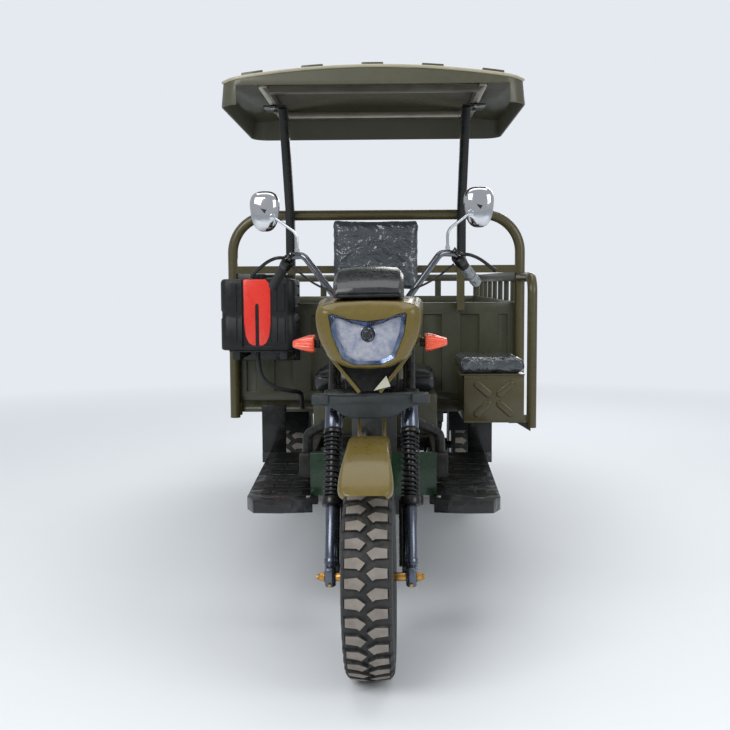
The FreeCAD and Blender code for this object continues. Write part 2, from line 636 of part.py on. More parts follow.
def front_guard():
    """The dark green plate in front of the frame, with turned-back edges."""
    y = FRAME_FRONT - 30
    plate = box((-206, 206), (y, y + 5), (GUARD_Z[0], GUARD_Z[1]))
    ends = both_sides(box((201, 206), (y, FRAME_FRONT), (GUARD_Z[0], GUARD_Z[1])))
    flanges = [box((-206, 206), (y, FRAME_FRONT), (z, z + 5)) for z in (GUARD_Z[0], GUARD_Z[1] - 5)]
    return fuse([plate] + ends + flanges)


def engine():
    """The engine as plain blocks: crankcase with covers, and its cylinder."""
    y = ENGINE_Y
    case = rounded(box((-135, 135), (y, y + 330), (325, ENGINE_TOP)), 30, crosswise)
    covers = [box_disc(s, y + ahead, r) for s in (-1, 1) for ahead, r in ((115, 80), (225, 68))]
    cylinder = box((-78, 78), (y + 70, y + 210), (ENGINE_TOP - 5, 690))
    return fuse([case] + covers + [cylinder])


def box_disc(side, y, radius):
    """A round cover on the crankcase's side."""
    return disc(V(side * (ENGINE_HALF - 30), y, 420), X_AXIS, radius, 60)


def exhaust():
    """The silencer along the right of the frame, on its pipe from the cylinder's front."""
    y = ENGINE_Y
    x, z = -300, 318
    pipe = bent_tube([V(-40, y + 70, 610), V(-40, y - 40, 610), V(-56, y - 40, 285), V(-60, y + 300, 285),
                      V(x, y + 500, z), V(x, y + 560, z)], 24, 17)
    can = rod(V(x, y + 555, z), V(x, y + 1050, z), 52)
    tail = rod(V(x, y + 1040, z), V(x, y + 1120, z), 14)
    face = -(RAIL_SPACING / 2 + RAIL_WIDTH / 2)
    straps = [box((face - 6, face), (yy, yy + 30), (z - 5, RAIL_Z + 40)) for yy in (BED_FRONT + 20, y + 960)]
    return fuse([pipe, can, tail] + straps)


def rear_axle():
    """The live axle's housing with its differential, stub shafts, brake plates and drive shaft."""
    centre = V(0, REAR_AXLE_Y, WHEEL_RADIUS)
    inner = REAR_TRACK / 2 - TYRE_WIDTH / 2 - 12
    hub_out = REAR_TRACK / 2 + REAR_HUB_HALF
    nose = centre + V(0, -190, 60)
    casing = ring([(-110, 0), (-100, 40), (-60, 92), (60, 92), (100, 40), (110, 0)], centre)
    pieces = [disc(centre, X_AXIS, AXLE_TUBE_R, 2 * inner), casing, rod(centre, nose, 40),
              disc(centre, X_AXIS, REAR_STUB_R - FIT, 2 * (hub_out + 12)),
              rod(nose, V(0, ENGINE_Y + 332, 420), 24)]
    for s in (-1, 1):
        pieces.append(disc(centre + V(s * (REAR_TRACK / 2 - REAR_HUB_HALF - 14), 0, 0), X_AXIS, 84, 12))
        pieces.append(disc(centre + V(s * (hub_out + 6.5), 0, 0), X_AXIS, 28, 11))
        pieces.append(box((s * SPRING_X - 30, s * SPRING_X + 30), (centre.y - 42, centre.y + 42),
                          (centre.z, LEAF_Z - GAP)))
    return fuse(pieces)


def leaf_springs():
    """A stack of leaves at each side, arched from the axle up to hangers on the rails."""
    made = []
    rail_face = RAIL_SPACING / 2 + RAIL_WIDTH / 2
    thick, count = 8.0, 5
    for s in (-1, 1):
        leaves = []
        for k in range(count):
            reach = SPRING_REACH - 62 * (count - 1 - k)
            z = LEAF_Z + thick * k
            rise = 110 * (reach / SPRING_REACH) ** 2
            low = Part.Arc(V(0, REAR_AXLE_Y - reach, z + rise), V(0, REAR_AXLE_Y, z),
                           V(0, REAR_AXLE_Y + reach, z + rise)).toShape()
            top = low.translated(V(0, 0, thick))
            ends = [Part.LineSegment(a.Point, b.Point).toShape() for a, b in zip(low.Vertexes, top.Vertexes)]
            leaf = Part.Face(Part.Wire(Part.__sortEdges__([low, ends[1], top, ends[0]]))).extrude(V(50, 0, 0))
            leaves.append(leaf.translated(V(s * SPRING_X - 25, 0, 0)))
        eye_z = LEAF_Z + thick * (count - 1) + 104
        brackets = []
        for end in (6 - SPRING_REACH, SPRING_REACH - 6):
            y = (REAR_AXLE_Y + end - 13, REAR_AXLE_Y + end + 13)
            x = (s * SPRING_X - SPRING_HALF, s * SPRING_X + SPRING_HALF)
            brackets.append(box(x, y, (eye_z - 6, RAIL_Z + 60)))
            brackets.append(box(sorted((s * SPRING_X, s * rail_face)), y, (RAIL_Z + 20, RAIL_Z + 60)))
        made.append(fuse(leaves + brackets))
    return Part.makeCompound(made)


def fuel_tank():
    """A teardrop tank with a flat bottom on the spine's pads."""
    y, low = FRONT_AXLE_Y + 520, FUEL_TANK_Z
    return loft_y([([(-95, low), (95, low), (110, 940), (60, 985), (-60, 985), (-110, 940)], y),
                   ([(-140, low), (140, low), (150, 940), (90, 1000), (-90, 1000), (-150, 940)], y + 150),
                   ([(-110, low), (110, low), (118, 890), (80, 925), (-80, 925), (-118, 890)], y + 330)])


def seat_base():
    """The pressed box on the rails that carries the driver's cushion."""
    half = RAIL_SPACING / 2 + 10
    return box((-half, half), (FRONT_AXLE_Y + 872, BED_FRONT - 70), (RAIL_Z + RAIL_HEIGHT, SEAT_Z - CUSHION))


def driver_seat():
    cushion = box((-230, 230), (FRONT_AXLE_Y + 868, BED_FRONT - 44), (SEAT_Z - CUSHION + GAP, SEAT_Z))
    return rounded(cushion, 26, lambda m, a: m.z > SEAT_Z - 1 or upright(m, a))


def footboards():
    """Two trays for the feet, turned down in front, outside and behind, with the upright plates that
    join their back edges to the bed's front channel."""
    inner, y0, y1 = FOOTBOARD_INNER, FOOTBOARD_FRONT, FOOTBOARD_REAR
    outline = [V(inner, y0 + 15, FOOTBOARD_Z), V(300, y0, FOOTBOARD_Z), V(385, y0 + 5, FOOTBOARD_Z),
               V(412, y0 + 60, FOOTBOARD_Z), V(440, y1, FOOTBOARD_Z), V(inner, y1, FOOTBOARD_Z)]
    slab = Part.Face(Part.makePolygon(outline + outline[:1])).extrude(V(0, 0, -FOOTBOARD_SKIRT))
    hollow = [p + V(-TRAY if p.x > inner else -10, TRAY if p.y < 0 and p.y < y0 + 100 else -TRAY, -TRAY)
              for p in outline]
    inside = Part.Face(Part.makePolygon(hollow + hollow[:1])).extrude(V(0, 0, -FOOTBOARD_SKIRT))
    plate = box((372, 471), (FOOTBOARD_REAR, BED_FRONT), (FOOTBOARD_Z - FOOTBOARD_SKIRT, BED_FLOOR_Z - 15))
    return Part.makeCompound(both_sides(fuse([slab.cut(inside), plate])))


# ---- cargo bed ----------------------------------------------------------------------------------
def bed_floor():
    """The steel floor sheet between the walls."""
    half = BED_HALF_WIDTH - WALL
    return box((-half, half), (BED_FRONT + FRONT_LIP + WALL, BED_REAR), (CHANNEL_TOP, BED_FLOOR_Z))


def bed_frame():
    """The sills under the side walls, the runners on the chassis rails and the cross channels; the first
    channel carries the front wall, the last the gate's hinges."""
    y = (BED_FRONT, BED_REAR)
    half = BED_HALF_WIDTH - WALL
    sills = both_sides(box((half, BED_HALF_WIDTH), y, (BED_FLOOR_Z - 50, BED_FLOOR_Z)))
    runners = both_sides(box((RAIL_SPACING / 2 - 20, RAIL_SPACING / 2 + 20), y, (BED_UNDER_Z, CHANNEL_Z)))
    step = (BED_LENGTH - CHANNEL) / (CHANNELS - 1)
    places = [BED_FRONT + k * step for k in range(CHANNELS)]
    crosses = [box((-half, half), (at, at + CHANNEL), (CHANNEL_Z, CHANNEL_TOP)) for at in places]
    seat = box((-half, half), (BED_FRONT, BED_FRONT + FRONT_LIP + WALL), (CHANNEL_TOP - 1, BED_FLOOR_Z))
    crosses[0] = fuse([crosses[0], seat])
    lugs = []
    for x in GATE_HINGES:
        for dx in (-BARREL_HALF - 7, BARREL_HALF + 1):
            plate = box((x + dx, x + dx + 6), (BED_REAR - 10, HINGE_Y), (HINGE_Z - BARREL_R, CHANNEL_TOP))
            lugs += [plate, rod(V(x + dx, HINGE_Y, HINGE_Z), V(x + dx + 6, HINGE_Y, HINGE_Z), BARREL_R)]
        lugs.append(disc(V(x, HINGE_Y, HINGE_Z), X_AXIS, HINGE_PIN_R - FIT, 2 * BARREL_HALF + 16))
    crosses[-1] = fuse([crosses[-1]] + lugs)
    return Part.makeCompound(sills + runners + crosses)


def ribbed_wall(width, height):
    """A pressed wall in the XZ plane from (0, 0): frame, sheet and upright ribs flush with the frame."""
    frame, top = 40.0, 48.0
    pieces = [box((0, width), (10, 14), (0, height)), box((0, frame), (0, WALL), (0, height)),
              box((width - frame, width), (0, WALL), (0, height)), box((0, width), (0, WALL), (0, frame)),
              box((0, width), (0, WALL), (height - top, height))]
    count = int((width - 2 * frame) // RIB_PITCH)
    step = (width - 2 * frame) / count
    for k in range(count):
        x = frame + (k + 0.5) * step
        pieces.append(box((x - step / 4, x + step / 4), (0, 14), (frame, height - top)))
    return fuse(pieces)


def front_panel():
    half = BED_HALF_WIDTH - WALL
    wall = ribbed_wall(2 * half, BED_WALL_HEIGHT)
    wall.translate(V(-half, BED_FRONT + FRONT_LIP, BED_FLOOR_Z))
    return wall


def front_hoop():
    """The bent tube across the bed's front with its lower bar, the posts that carry the canopy and
    the foot plates on the bed's front channel."""
    w, bar = HOOP_HALF_WIDTH, 14
    hoop = bent_tube([V(-w, HOOP_Y, HOOP_FOOT_Z), V(-w, HOOP_Y, HOOP_TOP_Z), V(w, HOOP_Y, HOOP_TOP_Z),
                      V(w, HOOP_Y, HOOP_FOOT_Z)], HOOP_CORNER, HOOP_TUBE / 2)
    low = box((-w, w), (HOOP_Y - bar, HOOP_Y + bar), (HOOP_LOW_BAR_Z - 15, HOOP_LOW_BAR_Z + 15))
    posts = both_sides(box((STRUT_X - 15, STRUT_X + 15), (HOOP_Y - HOOP_TUBE / 2, HOOP_Y + bar),
                           (WALL_TOP_Z - 30, HOOP_TOP_Z)))
    feet = both_sides(box((w - 26, w + 20), (HOOP_Y, BED_FRONT), (HOOP_FOOT_Z + 10, BED_FLOOR_Z - 4)))
    return fuse([hoop, low] + posts + feet)


def fence(length):
    """Fence on a wall's top edge: a rail on flat slats, in the XZ plane from x = 0."""
    top = BED_WALL_HEIGHT + FENCE_HEIGHT
    rail = box((0, length), (2, 26), (top - 40, top))
    count = math.ceil(length / FENCE_PITCH) + 1
    step = (length - SLAT) / (count - 1)
    z = (BED_WALL_HEIGHT - 10, top - 20)
    slats = [box((k * step, k * step + SLAT), (4, 24), z) for k in range(count)]
    return [rail] + slats


def side_panel(side):
    """A fixed wall on the floor's edge, ribs outwards, with its fence."""
    wall = fuse([ribbed_wall(BED_LENGTH, BED_WALL_HEIGHT)] + fence(BED_LENGTH))
    wall.rotate(V(0, 0, 0), Z_AXIS, 90)
    wall.translate(V(BED_HALF_WIDTH, BED_FRONT, BED_FLOOR_Z))
    return wall if side > 0 else mirrored(wall)


def tailgate():
    """The drop-down back wall with its fence and the barrels of its hinges."""
    width = 2 * BED_HALF_WIDTH
    lift = 4.0
    gate = fuse([ribbed_wall(width, BED_WALL_HEIGHT - lift)] + fence(width))
    gate.rotate(V(0, 0, 0), Z_AXIS, 180)
    gate.translate(V(width / 2, BED_REAR + GATE_CLEARANCE + WALL, BED_FLOOR_Z + lift))
    barrels = []
    for x in GATE_HINGES:
        barrels.append(disc(V(x, HINGE_Y, HINGE_Z), X_AXIS, BARREL_R, 2 * BARREL_HALF))
        barrels.append(box((x - BARREL_HALF, x + BARREL_HALF), (HINGE_Y - 8, HINGE_Y + 8),
                           (HINGE_Z, BED_FLOOR_Z + lift + 6)))
    bores = [disc(V(x, HINGE_Y, HINGE_Z), X_AXIS, HINGE_PIN_R, 4 * BARREL_HALF) for x in GATE_HINGES]
    return fuse([gate] + barrels).cut(Part.makeCompound(bores))


def rear_mudguards():
    """An arc round each rear wheel's top, flattened against the bed's cross channel."""
    made = []
    for s in (-1, 1):
        c = rear_wheel_centre(s)
        outer, skin = WHEEL_RADIUS + 48, 4
        half = TYRE_WIDTH / 2 + MUDGUARD_SIDE
        shell = disc(c, X_AXIS, outer, 2 * half).cut(disc(c, X_AXIS, outer - skin, 4 * half))
        y = (c.y - outer, c.y + outer)
        shell = shell.common(box((c.x - half, c.x + half), y, (c.z + 120, CHANNEL_Z)))
        rise = CHANNEL_Z - c.z
        flat = math.sqrt(outer ** 2 - rise ** 2) + 1
        made.append(fuse([shell, box((c.x - half, c.x + half), (c.y - flat, c.y + flat),
                                     (CHANNEL_Z - skin, CHANNEL_Z))]))
    return made


def tail_lights():
    lamps = [box((s * 420 - 48, s * 420 + 48), (LAMP_BAR_Y, LAMP_BAR_Y + 40), (RAIL_Z - 4, RAIL_Z + 56))
             for s in (-1, 1)]
    return Part.makeCompound([rounded(lamp, 12, lengthwise) for lamp in lamps])


# ---- fittings -----------------------------------------------------------------------------------
SIDE_BOX_X = (328.0, 548.0)
SIDE_BOX_Y = (BED_FRONT - 390, BED_FRONT - 50)
SIDE_BOX_Z = (605.0, 780.0)
LID_HINGE = V(0, SIDE_BOX_Y[1] - 8, SIDE_BOX_Z[1] + 8)
LID_PIN_R, LID_BARREL_R = 3.5, 6.5
LID_X = (SIDE_BOX_X[0] - 18, SIDE_BOX_X[1] + 2)


def side_seat_box():
    """The side seat's tool box, open at the top, on two arms from the bed's front channel."""
    skin = 4
    outer = box(SIDE_BOX_X, SIDE_BOX_Y, SIDE_BOX_Z)
    hollow = box((SIDE_BOX_X[0] + skin, SIDE_BOX_X[1] - skin), (SIDE_BOX_Y[0] + skin, SIDE_BOX_Y[1] - 20),
                 (SIDE_BOX_Z[0] + skin, SIDE_BOX_Z[1] + 5))
    arms = [box((x, x + 30), (SIDE_BOX_Y[0] + 40, BED_FRONT), (SIDE_BOX_Z[0] - 8, SIDE_BOX_Z[0]))
            for x in (SIDE_BOX_X[0] + 10, SIDE_BOX_X[1] - 50)]
    pieces = [outer.cut(hollow)] + arms
    middle = (SIDE_BOX_X[0] + SIDE_BOX_X[1]) / 2
    for x in (middle - 70, middle + 70):
        for dx in (-LID_KNUCKLE - 6, LID_KNUCKLE + 1):
            pieces.append(box((x + dx, x + dx + 5), (LID_HINGE.y - 5, LID_HINGE.y + 5),
                              (SIDE_BOX_Z[1] - 1, LID_HINGE.z + 5)))
        pieces.append(disc(V(x, LID_HINGE.y, LID_HINGE.z), X_AXIS, LID_PIN_R - FIT, 2 * LID_KNUCKLE + 8))
    return fuse(pieces)


def side_seat_lid():
    """The steel lid under the side seat's cushion, with the barrels of its hinge."""
    lid = box(LID_X, (SIDE_BOX_Y[0] - 4, LID_HINGE.y - 12), (SIDE_BOX_Z[1] + GAP, SIDE_BOX_Z[1] + 5))
    pieces, bores = [lid], []
    middle = (SIDE_BOX_X[0] + SIDE_BOX_X[1]) / 2
    for x in (middle - 70, middle + 70):
        centre = V(x, LID_HINGE.y, LID_HINGE.z)
        pieces.append(disc(centre, X_AXIS, LID_BARREL_R, 2 * LID_KNUCKLE))
        pieces.append(box((x - LID_KNUCKLE, x + LID_KNUCKLE), (LID_HINGE.y - 14, LID_HINGE.y),
                          (SIDE_BOX_Z[1] + 2, SIDE_BOX_Z[1] + 6)))
        bores.append(disc(centre, X_AXIS, LID_PIN_R, 4 * LID_KNUCKLE))
    return fuse(pieces).cut(Part.makeCompound(bores))


def side_seat_cushion():
    cushion = box(LID_X, (SIDE_BOX_Y[0] - 6, LID_HINGE.y - 14), (SIDE_BOX_Z[1] + 5 + GAP, SIDE_SEAT_Z))
    return rounded(cushion, 20, lambda m, a: m.z > SIDE_SEAT_Z - 1 or upright(m, a))


def guard_rail():
    """The side seat's outer guard: from the hoop's post forward, down past the box, with a tie to it."""
    x, front = HOOP_HALF_WIDTH, SIDE_BOX_Y[0] + 12
    tube = bent_tube([V(x, HOOP_Y - HOOP_TUBE / 2 - GAP, 1140), V(x, front, 1140), V(x, front, 585)], 60, 18)
    tie = box((SIDE_BOX_X[1], x), (front - 12, front + 12), (SIDE_BOX_Z[0] + 2, SIDE_BOX_Z[0] + 26))
    return fuse([tube, tie])


TANK_X = (-586.0, -302.0)
TRIM_X = (TANK_X[0] + 88, TANK_X[0] + 192)
TANK_Y = (BED_FRONT - 300, BED_FRONT - 60)
TANK_Z = (868.0, 1138.0)
HOSE_EXIT = V(TANK_X[0] + 130, TANK_Y[0] + 90, TANK_Z[0])


def water_tank():
    """The dark plastic canister beside the driver."""
    body = rounded(box(TANK_X, TANK_Y, TANK_Z), 34, upright)
    body = rounded(body, 10, lambda m, a: m.z > TANK_Z[1] - 1)
    slot = box(TRIM_X, (TANK_Y[0] - 5, TANK_Y[0] + 8), (TANK_Z[0] + 18, TANK_Z[1] + 10))
    cap = disc(V((TRIM_X[0] + TRIM_X[1]) / 2, TANK_Y[0] + 60, TANK_Z[1] + 8), Z_AXIS, 30, 22)
    return fuse([body.cut(slot), cap])


def water_tank_trim():
    """The red insert in the canister's front."""
    return box((TRIM_X[0] + GAP, TRIM_X[1] - GAP), (TANK_Y[0] - 4, TANK_Y[0] + 8 - GAP),
               (TANK_Z[0] + 18 + GAP, TANK_Z[1] - 2))


def tank_shelf():
    """The shelf that carries the canister off the bed's front panel, on two arms and a back plate."""
    z = TANK_Z[0] - GAP
    wall = BED_FRONT + FRONT_LIP
    x0, x1 = max(TANK_X[0] + 10, HOOP_TUBE / 2 + 3 - HOOP_HALF_WIDTH), TANK_X[1] - 10
    pieces = [box((x0, x1), (TANK_Y[0] + 10, wall), (z - 6, z)), box((x0, x1), (wall - 6, wall), (z - 60, z))]
    pieces += [box((x, x + 30), (TANK_Y[0] + 20, wall), (z - 36, z - 5)) for x in (x0 + 10, x1 - 50)]
    return fuse(pieces).cut(disc(HOSE_EXIT, Z_AXIS, HOSE_R + 3, 40))


def water_hose():
    """The canister's hose: down through the shelf, round in a loop and back into the bed's front channel."""
    x, y, back = HOSE_EXIT.x, HOSE_EXIT.y, BED_FRONT
    return cable([HOSE_EXIT, V(x, y, 808), V(x + 14, y, 752), V(x + 62, y + 8, 716), V(x + 122, y + 28, 702),
                  V(x + 156, back - 134, 692), V(x + 158, back - 84, 664), V(x + 150, back - 44, 617),
                  V(x + 150, back, 617)], HOSE_R)


def backrest():
    cushion = box((-170, 170), (HOOP_Y - 74, HOOP_Y - 14 - GAP), (1092, HOOP_TOP_Z - HOOP_TUBE / 2 - 4))
    return rounded(cushion, 22, lambda m, a: True)


def canopy_struts():
    """Two black struts on the hoop's posts, leaning forward up to a plate under each roof rail."""
    y = HOOP_Y - HOOP_TUBE / 2 - STRUT_SIDE / 2 - GAP
    top = CANOPY_RAIL_Z - 6
    made = []
    for s in (-1, 1):
        x = s * STRUT_X
        post = bent_square([V(x, y, 1195), V(x, y, 1400), V(x, y - 250, 1400 + 450)], STRUT_SIDE)
        post = post.cut(box((x - 60, x + 60), (y - 500, y + 100), (top + 1, top + 400)))
        lean = y - 250 * (top - 1400) / 450
        plate = box(sorted((s * (STRUT_X - 17), s * (CANOPY_RAIL_X + 40))), (lean - 60, lean + 60),
                    (top, CANOPY_RAIL_Z))
        made.append(fuse([post, plate]))
    return made


def canopy_rails():
    """The bare frame under the roof: two rails lengthwise, joined by two across."""
    z = (CANOPY_RAIL_Z, CANOPY_RAIL_Z + CANOPY_RAIL)
    y = (CANOPY_FRONT + 40, CANOPY_FRONT + CANOPY_LENGTH - 40)
    half = CANOPY_RAIL / 2
    rails = both_sides(box((CANOPY_RAIL_X - half, CANOPY_RAIL_X + half), y, z))
    x, places = (-CANOPY_RAIL_X, CANOPY_RAIL_X), (y[0] + 90, y[1] - 130)
    crosses = [box(x, (at, at + CANOPY_RAIL), z) for at in places]
    return fuse(rails + crosses)


def bent_square(points, side):
    """A square bar along mitred runs that stay in one YZ plane."""
    half = side / 2
    runs = []
    for a, b in zip(points, points[1:]):
        u = (b - a).normalize()
        bar = box((-half, half), (-half, half), (0, (b - a).Length))
        bar.Placement = FreeCAD.Placement(a, FreeCAD.Rotation(Z_AXIS, u))
        runs.append(bar)
        if b != points[-1]:
            runs.append(disc(b, X_AXIS, half, side))
    return fuse(runs)


def canopy_roof():
    """An arched roof turned down at its sides and back, with rounded corners."""
    y0, y1, s = CANOPY_FRONT, CANOPY_FRONT + CANOPY_LENGTH, CANOPY_SKIN
    outer = arched(CANOPY_HALF_WIDTH, 0, y0, y1)
    outer = rounded(outer, 70, upright_ish)
    inner = rounded(arched(CANOPY_HALF_WIDTH - s, s, y0 + s, y1 - s), 66, upright_ish)
    side_top = CANOPY_TOP_Z - CANOPY_ARCH
    lip = box((-CANOPY_HALF_WIDTH + 60, CANOPY_HALF_WIDTH - 60), (y0 - 5, y0 + 80),
              (side_top - CANOPY_SKIRT - 5, side_top - 12))
    ribs = [arched(CANOPY_HALF_WIDTH, -CANOPY_RIB, y0 + 12, y1 - 12).common(
        box((x - CANOPY_RIB_HALF, x + CANOPY_RIB_HALF), (y0, y1), (side_top - 10, CANOPY_TOP_Z + CANOPY_RIB)))
        for x in CANOPY_RIBS]
    return fuse([outer] + ribs).cut(inner).cut(lip)


def upright_ish(middle, along):
    return abs(along.z) > 0.9


def arched(half, drop, y0, y1):
    """A block with an arched top and slightly splayed sides."""
    side_top = CANOPY_TOP_Z - CANOPY_ARCH - drop
    low = side_top - CANOPY_SKIRT - (5 if drop else 0)
    top, shoulder = V(0, y0, CANOPY_TOP_Z - drop), half - 7
    crown = Part.Arc(V(-shoulder, y0, side_top), top, V(shoulder, y0, side_top)).toShape()
    sides = [Part.LineSegment(V(s * shoulder, y0, side_top), V(s * half, y0, low)).toShape() for s in (-1, 1)]
    base = Part.LineSegment(V(-half, y0, low), V(half, y0, low)).toShape()
    wire = Part.Wire(Part.__sortEdges__([crown, sides[1], base, sides[0]]))
    return Part.Face(wire).extrude(V(0, y1 - y0, 0))


NODES = {
    "frame_rails": frame_rails, "cross_members": cross_members, "head_frame": head_frame,
    "front_guard": front_guard, "engine": engine, "exhaust": exhaust, "rear_axle": rear_axle,
    "leaf_springs": leaf_springs, "fuel_tank": fuel_tank,
    "seat_base": seat_base, "driver_seat": driver_seat, "footboards": footboards,
    "bed_floor": bed_floor, "bed_frame": bed_frame, "front_panel": front_panel,
    "front_hoop": front_hoop, "guard_rail": guard_rail, "side_seat_box": side_seat_box,
    "water_tank": water_tank, "water_tank_trim": water_tank_trim, "tank_shelf": tank_shelf,
    "water_hose": water_hose,
    "backrest": backrest, "canopy_roof": canopy_roof, "tail_lights": tail_lights, "tailgate": tailgate,
    "side_seat_lid": side_seat_lid, "side_seat_cushion": side_seat_cushion, "canopy_rails": canopy_rails,
    "side_panel_left": lambda: side_panel(1), "side_panel_right": lambda: side_panel(-1),
    "canopy_struts": lambda: Part.makeCompound(canopy_struts()),
    "rear_mudguards": lambda: Part.makeCompound(rear_mudguards()),
    "rear_tyre_left": lambda: tyre(rear_wheel_centre(1)),
    "rear_tyre_right": lambda: tyre(rear_wheel_centre(-1)),
    "rear_rim_left": lambda: rim(rear_wheel_centre(1), REAR_HUB_HALF, 45, REAR_STUB_R),
    "rear_rim_right": lambda: rim(rear_wheel_centre(-1), REAR_HUB_HALF, 45, REAR_STUB_R),
}
STEERED_NODES = {
    "steering_stem": steering_stem, "fork_legs": fork_legs, "fork_springs": fork_springs,
    "front_fender": front_fender, "headlight_fairing": headlight_fairing, "headlight": headlight,
    "instrument_cowl": instrument_cowl, "fork_cover": fork_cover, "turn_signals": turn_signals,
    "handlebar": handlebar, "grips": grips, "control_levers": control_levers,
    "control_cables": control_cables, "mirrors": mirrors,
    "front_tyre": lambda: tyre(FRONT_WHEEL),
    "front_rim": lambda: rim(FRONT_WHEEL, FRONT_HUB_HALF, 38, AXLE_R),
}


def main():
    os.makedirs("parts", exist_ok=True)
    for name, make in NODES.items():
        make().exportStep("parts/" + name + ".step")
    for name, make in STEERED_NODES.items():
        steered(make()).exportStep("parts/" + name + ".step")


main()
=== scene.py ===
import bpy, bmesh
import json, math, random
from mathutils import Matrix, Vector, noise

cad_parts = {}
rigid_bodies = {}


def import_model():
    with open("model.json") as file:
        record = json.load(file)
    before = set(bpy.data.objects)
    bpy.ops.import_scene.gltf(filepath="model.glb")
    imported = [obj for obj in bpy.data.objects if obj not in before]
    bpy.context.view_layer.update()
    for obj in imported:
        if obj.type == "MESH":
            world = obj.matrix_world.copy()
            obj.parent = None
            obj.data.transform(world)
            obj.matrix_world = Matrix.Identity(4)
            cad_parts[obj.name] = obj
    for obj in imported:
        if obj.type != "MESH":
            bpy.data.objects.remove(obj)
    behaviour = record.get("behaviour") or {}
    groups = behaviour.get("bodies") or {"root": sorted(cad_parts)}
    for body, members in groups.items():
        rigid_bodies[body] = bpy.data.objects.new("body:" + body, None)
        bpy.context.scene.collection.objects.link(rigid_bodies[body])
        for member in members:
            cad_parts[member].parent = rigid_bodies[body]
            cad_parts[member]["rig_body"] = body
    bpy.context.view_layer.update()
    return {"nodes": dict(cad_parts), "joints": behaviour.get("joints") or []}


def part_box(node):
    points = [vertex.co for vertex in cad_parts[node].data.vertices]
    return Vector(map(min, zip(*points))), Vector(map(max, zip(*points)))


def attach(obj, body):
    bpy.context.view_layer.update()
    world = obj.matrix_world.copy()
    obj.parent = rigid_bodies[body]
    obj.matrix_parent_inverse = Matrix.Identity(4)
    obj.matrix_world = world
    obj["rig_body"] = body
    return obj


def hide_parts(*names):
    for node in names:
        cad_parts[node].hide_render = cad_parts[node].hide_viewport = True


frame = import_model()
random.seed(7)
print("frame loaded:", len(frame["nodes"]), "nodes")

joints = {j["name"]: j for j in frame["joints"]}
steerAxis = Vector(joints["steering_turn"]["axis"]).normalized()
steerPoint = Vector(joints["steering_turn"]["pos_m"])
parkAngle = -1.5   # degrees to the left that the steering is parked at
parkTurn = (Matrix.Translation(steerPoint) @ Matrix.Rotation(math.radians(parkAngle), 4, steerAxis)
            @ Matrix.Translation(-steerPoint))
steerAhead = Vector((0, -steerAxis.z, steerAxis.y))


# selecting, applying and shaping

def clearSelection():
    if bpy.context.object and bpy.context.object.mode != "OBJECT":
        bpy.ops.object.mode_set(mode="OBJECT")
    bpy.ops.object.select_all(action="DESELECT")


def pick(obj):
    clearSelection()
    obj.select_set(True)
    bpy.context.view_layer.objects.active = obj
    return obj


def modify(obj, kind, **settings):
    pick(obj)
    modifier = obj.modifiers.new(kind, kind)
    for key, value in settings.items():
        setattr(modifier, key, value)
    bpy.ops.object.modifier_apply(modifier=modifier.name)
    return obj


def applyPlace(obj):
    pick(obj)
    bpy.ops.object.transform_apply(location=True, rotation=True, scale=True)
    return obj


def smooth(obj, angle=38):
    pick(obj)
    bpy.ops.object.shade_smooth_by_angle(angle=math.radians(angle))
    return obj


def editAll(obj):
    pick(obj)
    bpy.ops.object.mode_set(mode="EDIT")
    bpy.ops.mesh.select_all(action="SELECT")


def closeMesh(obj, distance=0.00002):
    editAll(obj)
    bpy.ops.mesh.remove_doubles(threshold=distance)
    bpy.ops.mesh.normals_make_consistent(inside=False)
    bpy.ops.object.mode_set(mode="OBJECT")
    return obj


def meshOf(name, points, edges=(), faces=()):
    mesh = bpy.data.meshes.new(name)
    mesh.from_pydata([tuple(p) for p in points], [tuple(e) for e in edges], [tuple(f) for f in faces])
    mesh.update()
    obj = bpy.data.objects.new(name, mesh)
    bpy.context.scene.collection.objects.link(obj)
    return pick(obj)


def block(low, high, bevel=0.003, segments=2):
    clearSelection()
    size = [b - a for a, b in zip(low, high)]
    middle = [(a + b) / 2 for a, b in zip(low, high)]
    bpy.ops.mesh.primitive_cube_add(size=1, location=middle, scale=size)
    obj = applyPlace(bpy.context.object)
    if bevel:
        modify(obj, "BEVEL", width=min(bevel, min(size) * 0.45), segments=segments)
    return obj


def barrel(start, end, radius, sides=32, bevel=0.0, farRadius=None):
    clearSelection()
    start, end = Vector(start), Vector(end)
    along = end - start
    bpy.ops.mesh.primitive_cone_add(vertices=sides, radius1=radius, radius2=farRadius or radius, depth=along.length)
    obj = bpy.context.object
    obj.matrix_world = Matrix.Translation((start + end) / 2) @ along.to_track_quat("Z", "Y").to_matrix().to_4x4()
    applyPlace(obj)
    if bevel:
        modify(obj, "BEVEL", width=bevel, segments=2, limit_method="ANGLE", angle_limit=math.radians(50))
    return obj


def roundedPath(points, corner, steps=6):
    made = [Vector(points[0])]
    for before, here, after in zip(points, points[1:], points[2:]):
        here = Vector(here)
        a, b = (Vector(before) - here), (Vector(after) - here)
        reach = min(corner, a.length * 0.45, b.length * 0.45)
        a, b = here + a.normalized() * reach, here + b.normalized() * reach
        for k in range(steps + 1):
            t = k / steps
            made.append(a * (1 - t) ** 2 + here * 2 * t * (1 - t) + b * t ** 2)
    return made + [Vector(points[-1])]


